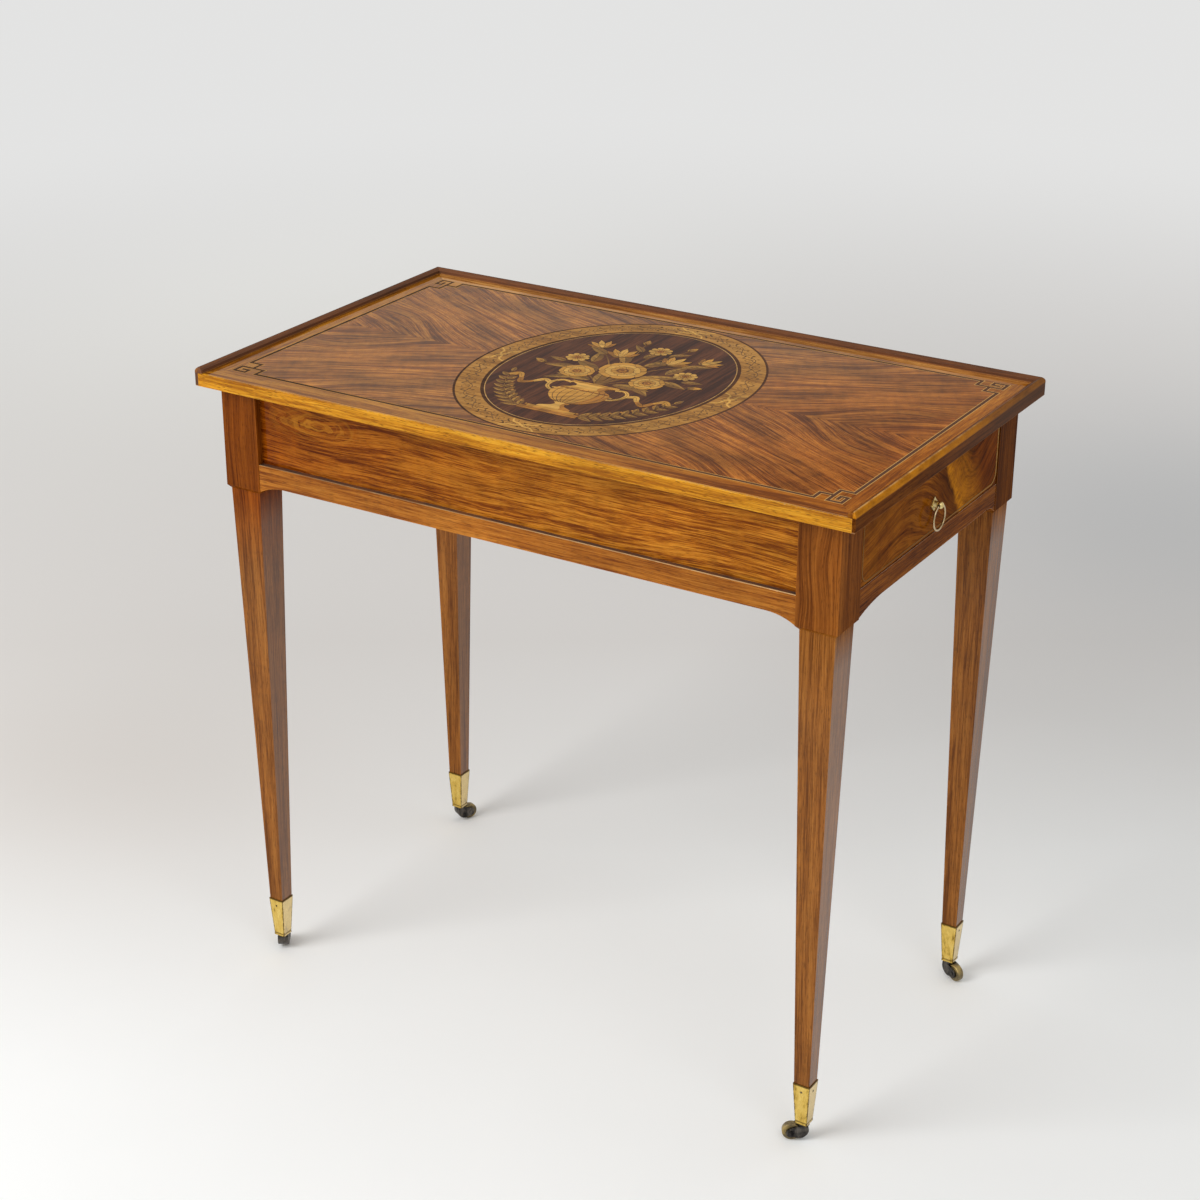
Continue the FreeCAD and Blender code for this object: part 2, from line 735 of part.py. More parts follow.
def caster_wheel():
    h = wheel_width / 2
    bore = axle_radius + running_gap
    cove = wheel_round * (1 - math.sqrt(0.5))

    def at(y, r):
        return point(trail, y, wheel_radius + r)

    tread_end = h - wheel_round
    wall_top = wheel_radius - wheel_round
    edges = [
        line(at(-h, bore), at(-h, wall_top)),
        arc(at(-h, wall_top), at(cove - h, wheel_radius - cove), at(-tread_end, wheel_radius)),
        line(at(-tread_end, wheel_radius), at(tread_end, wheel_radius)),
        arc(at(tread_end, wheel_radius), at(h - cove, wheel_radius - cove), at(h, wall_top)),
        line(at(h, wall_top), at(h, bore)),
        line(at(h, bore), at(-h, bore)),
    ]
    section = Part.Face(Part.Wire([edge.toShape() for edge in edges]))
    return section.revolve(point(trail, 0, wheel_radius), Y_AXIS, 360)


def main():
    nodes = {}
    nodes.update(top_board())
    nodes.update(rims())
    nodes.update(marquetry())
    apron_nodes, mortises = aprons()
    nodes.update(apron_nodes)
    nodes.update(drawer_supports())
    nodes.update(drawer())
    nodes.update(pull())
    pins = []
    for corner in CORNERS:
        nodes["leg_" + corner] = leg(corner, mortises)
        nodes["sabot_" + corner] = sabot(corner)
        nodes["caster_fork_" + corner] = placed(caster_fork(), corner)
        nodes["caster_axle_" + corner] = placed(caster_axle(), corner)
        nodes["caster_wheel_" + corner] = placed(caster_wheel(), corner)
        pins += sabot_pins(corner)
    nodes["sabot_pins"] = Part.makeCompound(pins)

    os.makedirs("parts", exist_ok=True)
    for name, shape in nodes.items():
        shape.exportStep("parts/" + name + ".step")
        print(name, len(shape.Solids), "solids, valid", shape.isValid(), "volume", round(shape.Volume, 1))


main()
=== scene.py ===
import bmesh
import bpy
import math
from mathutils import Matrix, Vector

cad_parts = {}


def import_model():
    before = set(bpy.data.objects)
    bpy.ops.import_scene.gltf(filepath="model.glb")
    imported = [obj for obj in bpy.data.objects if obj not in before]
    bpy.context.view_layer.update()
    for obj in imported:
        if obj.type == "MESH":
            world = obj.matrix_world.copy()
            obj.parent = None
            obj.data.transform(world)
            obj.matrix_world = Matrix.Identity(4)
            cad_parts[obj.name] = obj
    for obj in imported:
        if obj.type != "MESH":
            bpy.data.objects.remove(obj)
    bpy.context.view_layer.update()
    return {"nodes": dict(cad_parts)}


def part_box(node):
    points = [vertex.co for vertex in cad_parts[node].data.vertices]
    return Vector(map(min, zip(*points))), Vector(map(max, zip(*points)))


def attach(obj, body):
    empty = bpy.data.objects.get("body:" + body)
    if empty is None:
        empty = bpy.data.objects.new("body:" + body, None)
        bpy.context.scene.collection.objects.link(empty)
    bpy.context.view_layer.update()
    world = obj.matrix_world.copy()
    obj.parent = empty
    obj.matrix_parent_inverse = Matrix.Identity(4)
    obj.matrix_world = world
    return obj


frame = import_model()

# Writing table: finishes of every piece, and the fine marquetry of its top.
# Metres, in the frame of the solids: X towards the drawer, Y towards the back, Z up from the floor.
MM = 0.001

# Camera, from a fit of the table's corners to the photograph
CAMERA_PLACE = (1.275864, -2.110826, 1.578708)
CAMERA_TURN = (65.741, 0.215, 32.581)
CAMERA_LENS = 72.668
CAMERA_SENSOR = 36.0
CAMERA_SHIFT = (0.0363, 0.00376)
CAMERA_REACH = 100.0

# Lamps: place, aim, width and power
LAMPS = {
    "key": ((-1.3, -2.5, 2.3), (-0.1, -0.3, 0.3), 2.0, 62.0),
    "fill": ((2.4, -1.6, 3.2), (0.0, 0.0, 0.6), 2.0, 14.0),
}

# World and floor: the world's strength as light and in sight, then the floor's tones, its painted shade
# behind the table, and each patch of painted shade and painted light on it with its spot
WORLD_LIGHT = 0.60
WORLD_SEEN = 0.78
WORLD_COLOUR = (1.0, 0.99, 0.975, 1.0)
FLOOR_RADIUS = 15.0
FLOOR_FADE = (1.3, 4.4)
FLOOR_TONES = ((0.935, 0.948, 0.945), (0.965, 0.978, 0.975))
FLOOR_PAINTED_SHADE = (0.785, 0.765, 0.745)
FLOOR_PAINTED_LIGHT_AND_SHADE = (
    ((-0.90, 0.05, 0.50, 0.45), (0.745, 0.715, 0.685)),
    ((0.10, 1.75, 0.55, 0.60), (0.620, 0.625, 0.630)),
    ((-2.10, 2.30, 0.80, 1.20), (1.000, 0.995, 0.950)),
)
BACKDROP = (0.77, 0.77, 0.765, 1.0)

# Places taken from the solids
GROUND_LOW, GROUND_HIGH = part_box("medallion_ground")
BAND_LOW, BAND_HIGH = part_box("medallion_band")
STRING_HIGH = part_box("stringing_core")[1]
SABOT_LOW, SABOT_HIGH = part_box("sabot_front_left")
RIM_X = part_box("right_rim")[1][0]
RIM_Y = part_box("back_rim")[1][1]
RIM_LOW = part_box("back_rim")[0][2]
STEP_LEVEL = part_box("front_rail")[0][2]
RAIL_FACE = -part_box("front_rail")[0][1]
DRAWER_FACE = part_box("drawer_front")[1][0]
SURFACE = GROUND_HIGH[2]
OVAL_X, OVAL_Y = ((low + high) / 2 for low, high in zip(GROUND_LOW[:2], GROUND_HIGH))
GROUND_HALF = [(high - low) / 2 / MM for low, high in zip(GROUND_LOW[:2], GROUND_HIGH)]
BAND_HALF = [(high - low) / 2 / MM for low, high in zip(BAND_LOW[:2], BAND_HIGH)]
CORNERS = ("front_left", "front_right", "back_left", "back_right")

# Sizes of details that show in the finishes, and of softened edges
SABOT_FOOT = 13.7 * MM
STEP_SLANT = 4 * MM
RIM_CREST = 3.4 * MM
VENEER = 2.0 * MM
WORN_EDGE = 1.6 * MM
PALE_EDGE_REACH = 1.2 * MM
SOFT_WOOD = 0.6 * MM
SOFT_METAL = 0.35 * MM
SHARP_DEGREES = 40
WELD_REACH = 0.01 * MM

# Grain: broad bands, streaks, fine streaks and veins, each with its width in stripes, length and detail,
# then the pores, and the places of the three tones of a wood on the scale from dark to light
GRAIN = ((4.5, 0.20, 2.0), (1.0, 0.09, 3.0), (0.3, 0.035, 2.0), (0.55, 0.14, 3.0))
PORE_WIDTH, PORE_LENGTH = 0.7 * MM, 9.0 * MM
TONE_STOPS = (0.14, 0.50, 0.86)

# Woods: dark, middle and light tone of each
ROSEWOOD = ((0.128, 0.036, 0.004), (0.268, 0.089, 0.013), (0.380, 0.142, 0.024))
FIGURED = ((0.150, 0.034, 0.002), (0.340, 0.105, 0.006), (0.49, 0.185, 0.016))
RAIL = ((0.132, 0.028, 0.002), (0.300, 0.090, 0.007), (0.430, 0.155, 0.018))
CROTCH = ((0.060, 0.012, 0.001), (0.165, 0.043, 0.003), (0.270, 0.084, 0.006))
FIELD = ((0.120, 0.036, 0.006), (0.290, 0.098, 0.014), (0.45, 0.180, 0.028))
BANDING = ((0.17, 0.052, 0.005), (0.34, 0.122, 0.010), (0.46, 0.195, 0.020))
LIPPING = ((0.31, 0.100, 0.003), (0.52, 0.210, 0.008), (0.66, 0.310, 0.020))
RIM = ((0.085, 0.020, 0.002), (0.205, 0.060, 0.006), (0.31, 0.105, 0.012))
AMBER = ((0.26, 0.105, 0.013), (0.41, 0.182, 0.026), (0.50, 0.240, 0.044))
UMBER = ((0.044, 0.013, 0.005), (0.085, 0.026, 0.009), (0.135, 0.044, 0.015))
OAK = ((0.20, 0.115, 0.050), (0.36, 0.225, 0.105), (0.47, 0.310, 0.155))
BOXWOOD = ((0.40, 0.205, 0.055), (0.54, 0.300, 0.090), (0.62, 0.370, 0.130))
STRAW = ((0.35, 0.155, 0.026), (0.47, 0.225, 0.042), (0.55, 0.285, 0.062))
WENGE = ((0.040, 0.018, 0.009), (0.068, 0.031, 0.015), (0.098, 0.046, 0.023))

# Veneers of the flowers, the urn and the scrolls, and the turn of the grain from each to the next in degrees
INLAY_COLOURS = {
    "cream": (0.64, 0.345, 0.070), "straw": (0.55, 0.260, 0.040), "honey": (0.40, 0.160, 0.021),
    "russet": (0.20, 0.064, 0.010), "sage": (0.36, 0.180, 0.032), "olive": (0.23, 0.104, 0.019),
    "engraving": (0.060, 0.026, 0.009), "scroll": (0.135, 0.062, 0.016),
}
INLAY_TURN = 37

# Millimetres from the ground to the band, and from the band's outer edge to its middle
FILLET_WIDTH = 5.0
BAND_MIDDLE = 14

# Metals: tarnished, usual and bright tone of each
SABOT_BRASS = ((0.20, 0.11, 0.020), (0.77, 0.52, 0.112), (0.89, 0.645, 0.18))
PULL_BRASS = ((0.13, 0.080, 0.022), (0.66, 0.50, 0.19), (0.84, 0.68, 0.33))
RING_BRASS = ((0.13, 0.090, 0.045), (0.46, 0.345, 0.185), (0.68, 0.53, 0.33))
BRONZE = ((0.014, 0.012, 0.012), (0.045, 0.041, 0.039), (0.14, 0.125, 0.110))
STEEL = ((0.10, 0.09, 0.08), (0.42, 0.41, 0.40), (0.60, 0.59, 0.57))
WHEEL = ((0.030, 0.022, 0.012), (0.105, 0.078, 0.036), (0.21, 0.155, 0.070))

# Colours laid over a part of a piece: wood tones, dust and wear, and painted reflection, highlight and shade
SHAFT_PAINTED_REFLECTION = (0.165, 0.105, 0.075)
LEDGE_PAINTED_SHADE = (0.060, 0.045, 0.040)
LEDGE_PAINTED_HIGHLIGHT = (1.0, 0.72, 0.36)
EDGE_DUST_AND_HIGHLIGHT = (0.50, 0.36, 0.28)
RIM_PAINTED_SHEEN = (0.20, 0.125, 0.085)
NOSE_PAINTED_HIGHLIGHT = (0.60, 0.225, 0.010)
CREST_PAINTED_HIGHLIGHT = (0.78, 0.46, 0.16)
RIM_INNER_PAINTED_REFLECTION = (0.38, 0.165, 0.05)
RIM_FOOT_PAINTED_HIGHLIGHT = (0.40, 0.20, 0.09)
PANEL_GOLD = (0.47, 0.185, 0.014)
FLAME = (0.70, 0.260, 0.006)
FLAME_EDGE = (0.055, 0.013, 0.001)
EMBER = (0.33, 0.105, 0.005)
EBONY_PALE = (0.125, 0.055, 0.030)
STRAW_PALE = (0.64, 0.36, 0.105)
BEAD_BROWN = (0.15, 0.055, 0.012)
SABOT_PAINTED_REFLECTION = (0.95, 0.84, 0.62)
WHEEL_RUBBED = (0.44, 0.320, 0.120)

# Glazes, by which the colour of a part of a piece is multiplied: painted shade, painted reflection and tones
SHAFT_PAINTED_SHADE = (0.76, 0.50, 0.20)
POST_PAINTED_SHADE = (0.68, 0.49, 0.25)
POST_BACK_PAINTED_SHADE = (0.72, 0.80, 1.0)
FRONT_RED = (1.05, 0.86, 0.72)
BACK_PAINTED_REFLECTION = (1.28, 1.48, 4.0)
RIM_FACE_PAINTED_SHADE = (0.38, 0.30, 0.30)
RIM_PAINTED_SHADE = (0.60, 0.48, 0.52)
CREST_PAINTED_SHADE = (0.40, 0.30, 0.36)
PANEL_PAINTED_SHADE = (0.62, 0.42, 0.25)
FLAME_END = (0.66, 0.46, 0.30)


# Shader graphs

class Graph:
    """Node tree of one material or world, with a short call for each kind of node used here."""

    def __init__(self, owner, shader="Principled BSDF"):
        self.owner = owner
        owner.use_nodes = True
        self.tree = owner.node_tree
        self.shader = self.tree.nodes[shader]

    def node(self, kind, **settings):
        made = self.tree.nodes.new("ShaderNode" + kind)
        for key, value in settings.items():
            setattr(made, key, value)
        return made

    def feed(self, socket, value):
        if isinstance(value, bpy.types.NodeSocket):
            self.tree.links.new(value, socket)
        else:
            socket.default_value = value

    def fill(self, node, *values):
        """First output of a node whose inputs take the values in turn."""
        for socket, value in zip(node.inputs, values):
            self.feed(socket, value)
        return node.outputs[0]

    def math(self, operation, *values):
        return self.fill(self.node("Math", operation=operation), *values)

    def chain(self, operation, values):
        """Values joined one after another by the same operation."""
        joined = values[0]
        for value in values[1:]:
            joined = self.math(operation, joined, value)
        return joined

    def plus(self, *values):
        return self.chain("ADD", values)

    def times(self, *values):
        return self.chain("MULTIPLY", values)

    def most(self, *values):
        return self.chain("MAXIMUM", values)

    def minus(self, a, b):
        return self.math("SUBTRACT", a, b)

    def absolute(self, value):
        return self.math("ABSOLUTE", value)

    def length(self, a, b):
        return self.math("SQRT", self.plus(self.times(a, a), self.times(b, b)))

    def parts(self, kind, output, order="xyz"):
        split = self.node("SeparateXYZ")
        self.fill(split, self.node(kind).outputs[output])
        return [split.outputs["xyz".index(letter)] for letter in order]

    def place(self, order="xyz"):
        """Object coordinates, in metres, as sockets in the given order."""
        return self.parts("TexCoord", "Object", order)

    def facing(self):
        """Parts of the surface's normal along X, Y and Z."""
        return self.parts("NewGeometry", "Normal")

    def noise(self, parts, scales, detail=3.0, roughness=0.6):
        """Noise at the place given by three parts, each multiplied by its scale."""
        scaled = [part if scale == 1 else self.times(part, scale) for part, scale in zip(parts, scales)]
        made = self.node("TexNoise")
        self.feed(made.inputs["Vector"], self.fill(self.node("CombineXYZ"), *scaled))
        made.inputs["Scale"].default_value = 1.0
        made.inputs["Detail"].default_value = detail
        made.inputs["Roughness"].default_value = roughness
        return made.outputs["Fac"]

    def between(self, value, low, high, start=0.0, end=1.0, kind="LINEAR"):
        """Value carried from the range low to high onto start to end, held at both ends."""
        return self.fill(self.node("MapRange", interpolation_type=kind), value, low, high, start, end)

    def choose(self, share, a, b):
        made = self.node("Mix", data_type="FLOAT")
        for spot, value in zip((0, 2, 3), (share, a, b)):
            self.feed(made.inputs[spot], value)
        return made.outputs[0]

    def blend(self, share, a, b, mode="MIX"):
        made = self.node("Mix", data_type="RGBA", blend_type=mode)
        colours = [s for s in made.inputs if s.type == "RGBA"]
        self.feed(made.inputs[0], share)
        self.feed(colours[0], rgba(a))
        self.feed(colours[1], rgba(b))
        return made.outputs[2]

    def glaze(self, share, colour, tone):
        return self.blend(share, colour, tone, "MULTIPLY")

    def ramp(self, value, spots, colours):
        made = self.node("ValToRGB")
        elements = made.color_ramp.elements
        while len(elements) < len(spots):
            elements.new(0.5)
        for element, spot, colour in zip(elements, spots, colours):
            element.position = spot
            element.color = rgba(colour)
        self.feed(made.inputs[0], value)
        return made.outputs[0]

    def brighter(self, colour, value):
        made = self.node("HueSaturation")
        self.feed(made.inputs["Value"], value)
        self.feed(made.inputs["Color"], colour)
        return made.outputs[0]

    def bump(self, height, distance, strength):
        made = self.node("Bump")
        made.inputs["Strength"].default_value = strength
        made.inputs["Distance"].default_value = distance
        self.feed(made.inputs["Height"], height)
        return made.outputs[0]

    def seen(self):
        """1 for rays of sight, which come from the camera, a reflection or something clear."""
        rays = self.node("LightPath").outputs
        return self.most(rays["Is Camera Ray"], rays["Is Glossy Ray"], rays["Is Transmission Ray"])

    def edge(self, radius):
        """1 along the edges of the piece, fading to 0 over the radius."""
        bevel = self.node("Bevel", samples=4)
        bevel.inputs["Radius"].default_value = radius
        dot = self.node("VectorMath", operation="DOT_PRODUCT")
        self.fill(dot, bevel.outputs[0], self.node("NewGeometry").outputs["Normal"])
        return self.between(dot.outputs["Value"], 0.995, 0.86)

    def set(self, **inputs):
        for name, value in inputs.items():
            self.feed(self.shader.inputs[name.replace("_", " ")], value)


def rgba(colour):
    if isinstance(colour, bpy.types.NodeSocket) or len(colour) == 4:
        return colour
    return (*colour, 1.0)


def added(name, data):
    """New object of the scene that holds the given mesh, lamp or camera."""
    made = bpy.data.objects.new(name, data)
    bpy.context.scene.collection.objects.link(made)
    return made


# Woods

def turned(g, x, y, turn):
    """Places along and across a direction in the plane of the top, by its angle."""
    along = g.plus(g.times(x, math.cos(turn)), g.times(y, math.sin(turn)))
    return along, g.minus(g.times(y, math.cos(turn)), g.times(x, math.sin(turn)))


def quarter_matched(g):
    """Four mirrored quarters, with the grain running out from the medallion to the corners."""
    x, y, z = g.place()
    dx = g.absolute(g.minus(x, OVAL_X))
    return *turned(g, dx, g.absolute(y), math.atan2(STRING_HIGH[1], STRING_HIGH[0])), z


def framed(g):
    """Banding whose grain follows each edge of the top and meets on the mitres."""
    x, y, z = g.place()
    past_x = g.minus(g.absolute(x), STRING_HIGH[0])
    past_y = g.minus(g.absolute(y), STRING_HIGH[1])
    side = g.math("GREATER_THAN", past_x, past_y)
    return g.choose(side, x, y), g.choose(side, y, x), z


def hill(g, along, across, spot):
    """Smooth hill of height 1 at a spot, which is (along, across, reach along, reach across)."""
    u = g.times(g.minus(along, spot[0]), 1 / spot[2])
    v = g.times(g.minus(across, spot[1]), 1 / spot[3])
    return g.math("EXPONENT", g.times(g.plus(g.times(u, u), g.times(v, v)), -1.0))


def wood(name, axes, tones, stripe=0.005, warp=0.012, swirls=(), figure=1.0, streaks=0.5, veins=0.4,
         pores=0.5, run=1.0, sheen=0.25, polish=0.05, gloss=1.2, coat=1.0, wear_and_highlight=0.0, tint=None):
    """Polished wood: broad growth bands, streaks along the grain, dark veins, open pores and a clear coat.

    axes names the axes along, across and into the board, or is a function that finds these places. tones are
    the dark, middle and light colours, stripe is the usual width of a streak, and run is how long the streaks
    are drawn out. Each swirl is a spot and the height of a knot that the streaks flow round.
    tint(graph, colour) may recolour some region.
    """
    g = Graph(bpy.data.materials.new(name))
    place = axes(g) if callable(axes) else g.place(axes)
    along, across, depth = place
    dark, light = tones[0], tones[-1]

    wander = g.minus(g.noise(place, (5.0, 14.0, 14.0), 2.0, 0.5), 0.5)
    ring = g.plus(across, g.times(wander, warp))
    for *spot, height in swirls:
        ring = g.plus(ring, g.times(hill(g, along, across, spot), height))

    def grain(width, length, detail):
        """Noise about 0, drawn out along the grain into marks of about the given width and length."""
        return g.minus(g.noise((ring, along, depth), (1 / width, 1 / length, 1 / width), detail), 0.5)

    broad, streak, fine, vein = (grain(width * stripe, length * run, detail)
                                 for width, length, detail in GRAIN)
    tone = g.plus(g.times(broad, 1.5 * figure), g.times(streak, 1.7 * figure), g.times(fine, 2.4 * streaks),
                  0.5)
    colour = g.ramp(tone, TONE_STOPS, tones)
    colour = g.blend(g.between(vein, 0.09, 0.17, 0.0, veins), colour, [0.65 * c for c in dark])
    pore = g.between(grain(PORE_WIDTH, PORE_LENGTH, 1.0), 0.08, 0.20)
    colour = g.blend(g.times(pore, pores), colour, [0.4 * c for c in dark])

    cloud = g.noise(place, (7.0, 22.0, 22.0))
    ripple = g.noise(place, (95.0, 26.0, 26.0), 2.0, 0.5)
    glow = g.plus(g.times(g.minus(cloud, 0.5), 3.0 * sheen), g.times(g.minus(ripple, 0.5), 0.9 * sheen))
    colour = g.brighter(colour, g.plus(glow, 1.0))
    # Paler edges, partly rubbed wear and partly a painted highlight.
    if wear_and_highlight:
        rubbed = g.times(g.edge(WORN_EDGE), g.between(cloud, 0.42, 0.58, 0.25, 1.0))
        colour = g.blend(g.times(rubbed, wear_and_highlight), colour, [1.25 * c for c in light])

    smear = g.noise(place, (30.0, 30.0, 30.0), 4.0)
    height = g.minus(g.times(smear, 0.35), g.times(pore, 0.6))
    g.set(Coat_Weight=coat, Coat_Roughness=polish, Coat_IOR=gloss, Specular_IOR_Level=0.0)
    g.set(Base_Color=tint(g, colour) if tint else colour, Roughness=g.between(smear, 0.3, 0.7, 0.34, 0.5),
          Normal=g.bump(height, 0.12 * MM, 0.6), Coat_Normal=g.bump(smear, 0.10 * MM, 0.35))
    return g.owner


def painted_leg_shade_and_reflection(g, colour):
    """Legs with painted shade that makes the posts deeper and redder than the shafts, most of all at the left
    and the back.

    A shaft is glossier on its faces towards the ends of the table, and greyer there with a painted
    reflection, and the one at the front left has painted shade just under its post.
    """
    x, y, z = g.place()
    shaft = g.between(z, 0.56, STEP_LEVEL, 1.0, 0.0)
    side = g.times(g.between(g.absolute(g.facing()[0]), 0.5, 0.8), shaft)
    g.set(Coat_Weight=g.choose(side, g.between(z, 0.50, STEP_LEVEL, 0.26, 0.09), 0.95))
    colour = g.brighter(colour, g.between(z, 0.05, STEP_LEVEL, 0.84, 0.94))
    # Painted reflection: the shafts' faces towards the ends of the table are greyed.
    colour = g.blend(g.times(side, 0.25), colour, SHAFT_PAINTED_REFLECTION)
    post = g.between(z, STEP_LEVEL - STEP_SLANT, STEP_LEVEL)
    left = g.times(g.between(x, -0.3, -0.2, 1.0, 0.0), g.between(y, -0.1, 0.1, 1.0, 0.0))
    under = g.minus(g.between(z, 0.50, 0.59), post)
    # Painted shade on the front left shaft, just under its post.
    colour = g.glaze(g.times(left, under), colour, SHAFT_PAINTED_SHADE)
    near = g.times(g.between(x, -0.3, 0.3), g.between(y, -0.1, 0.15, 1.0, 0.0))
    # Painted shade on the posts under the top, deepest towards the left.
    colour = g.glaze(g.times(post, g.between(near, 0.0, 1.0, 1.0, 0.6)), colour, POST_PAINTED_SHADE)
    # More painted shade on the posts at the back.
    return g.glaze(g.times(post, g.between(y, 0.0, 0.15)), colour, POST_BACK_PAINTED_SHADE)


def patches(g, least, most):
    """Uneven share of wear or dirt, in patches of about a centimetre."""
    return g.between(g.noise(g.place(), (60.0, 60.0, 60.0)), 0.35, 0.60, least, most)


def ledge_shade_and_highlight(g, colour):
    """Painted shade in dark patches on the ledge under the panel, and a painted highlight along its outer
    edge that grows towards the right.
    """
    x, y = g.place("xy")
    up = g.between(g.facing()[2], 0.30, 0.90)
    # Painted shade on the upward faces of the ledge.
    colour = g.blend(g.times(up, patches(g, 0.60, 0.90)), colour, LEDGE_PAINTED_SHADE)
    # Painted highlight along the ledge's outer edge, stronger towards the right.
    inside = g.minus(RAIL_FACE, g.absolute(y))
    rubbed = g.times(up, g.between(inside, 1.5 * MM, 2.2 * MM, 1.0, 0.0), patches(g, 0.6, 1.0))
    return g.blend(g.times(rubbed, g.between(x, -0.25, 0.30, 0.3, 0.95)), colour, LEDGE_PAINTED_HIGHLIGHT)


def dust_and_highlight_edges(g, colour):
    """Edges of a rail with a pale line that is partly dust and partly a painted highlight."""
    return g.blend(g.times(g.edge(PALE_EDGE_REACH), patches(g, 0.25, 0.75)), colour, EDGE_DUST_AND_HIGHLIGHT)


def redder_right(g, colour):
    """Top redder and duller towards the front corner at the drawer's end, with a painted reflection that
    makes the banding paler at the back.
    """
    x, y = g.place("xy")
    share = g.between(g.minus(x, g.times(y, 0.6)), 0.02, 0.42)
    g.set(Coat_Weight=g.between(share, 0.0, 1.0, 0.90, 0.30))
    colour = g.glaze(share, colour, FRONT_RED)
    # Painted reflection on the banding at the back.
    past_x = g.most(g.minus(g.absolute(x), STRING_HIGH[0]), 0.0)
    back = g.between(g.minus(g.minus(y, STRING_HIGH[1]), past_x), 0.0, 0.5 * MM)
    return g.glaze(back, colour, BACK_PAINTED_REFLECTION)


def rim_painted_light(letter, edge):
    """Dark rim with painted light: painted shade on its outer face and away from the front right, with a
    painted grey sheen there, a painted amber highlight on its nose and crest at the front right, a painted
    reflection low on its inner face, and a painted highlight along its lowest edges.
    """
    def tint(g, colour):
        place = x, y, z = g.place()
        out = g.minus(edge, g.absolute(x if letter == "x" else y))
        rise = g.minus(z, SURFACE)
        cloud = g.noise(place, (40.0, 40.0, 90.0), 4.0)
        outer = g.between(out, 3.0 * MM, 4.0 * MM, 1.0, 0.0)
        # Painted shade on the outer face below the level of the top.
        face = g.times(outer, g.between(rise, -0.4 * MM, 0.6 * MM, 1.0, 0.0))
        colour = g.glaze(g.times(face, 0.75), colour, RIM_FACE_PAINTED_SHADE)
        # gold marks the front right of the rim, where it is lit; the rest gets painted shade.
        gold = g.times(g.between(x, -0.05, 0.25), g.between(y, -0.10, 0.12, 1.0, 0.15))
        colour = g.glaze(g.minus(1.0, gold), colour, RIM_PAINTED_SHADE)
        # Painted grey sheen away from the front right.
        colour = g.blend(g.between(gold, 0.0, 1.0, 0.35, 0.0), colour, RIM_PAINTED_SHEEN)
        # Painted amber highlight on the nose at the front right.
        nose = g.times(outer, g.between(rise, 0.0, 1.4 * MM), g.between(gold, 0.0, 1.0, 0.15, 1.0))
        colour = g.blend(g.times(nose, g.between(cloud, 0.35, 0.6, 0.45, 1.0)), colour, NOSE_PAINTED_HIGHLIGHT)
        # Painted shade on the crest away from the front right, and a painted highlight on it there.
        crest = g.between(g.absolute(g.minus(out, RIM_CREST)), 0.3 * MM, 1.0 * MM, 1.0, 0.0)
        crest = g.times(crest, g.between(rise, 5.4 * MM, 6.0 * MM))
        colour = g.glaze(g.times(crest, g.minus(1.0, gold)), colour, CREST_PAINTED_SHADE)
        colour = g.blend(g.times(crest, g.between(cloud, 0.4, 0.6, 0.2, 0.85), gold), colour, CREST_PAINTED_HIGHLIGHT)
        # Painted reflection low on the inner face.
        inner = g.times(g.between(out, 8.0 * MM, 8.6 * MM), g.between(rise, 0.5 * MM, 1.3 * MM, 0.7, 0.0))
        colour = g.blend(inner, colour, RIM_INNER_PAINTED_REFLECTION)
        # Painted highlight along the lowest edges.
        return g.blend(g.between(g.minus(z, RIM_LOW), 0.5 * MM, 1.3 * MM, 0.65, 0.0), colour, RIM_FOOT_PAINTED_HIGHLIGHT)
    return tint


def panel_figure(g, colour):
    """Panel with painted shade that deepens towards its left end, where a few golden rings show in the grain.
    """
    place = g.place()
    x, z = place[0], place[2]
    # Painted shade towards the left end.
    colour = g.glaze(g.between(x, -0.33, 0.06, 1.0, 0.0), colour, PANEL_PAINTED_SHADE)
    u = g.times(g.minus(x, -0.252), 1 / 0.046)
    v = g.times(g.minus(z, 0.692), 1 / 0.015)
    wobble = g.times(g.minus(g.noise(place, (45.0, 1, 45.0)), 0.5), 0.8)
    reach = g.plus(g.length(u, v), wobble)
    rings = g.noise((reach, u, 0.0), (5.0, 0.4, 1), 2.0)
    gold = g.times(g.between(rings, 0.46, 0.64, 0.0, 0.6), g.between(reach, 0.6, 1.6, 1.0, 0.0))
    return g.blend(gold, colour, PANEL_GOLD)


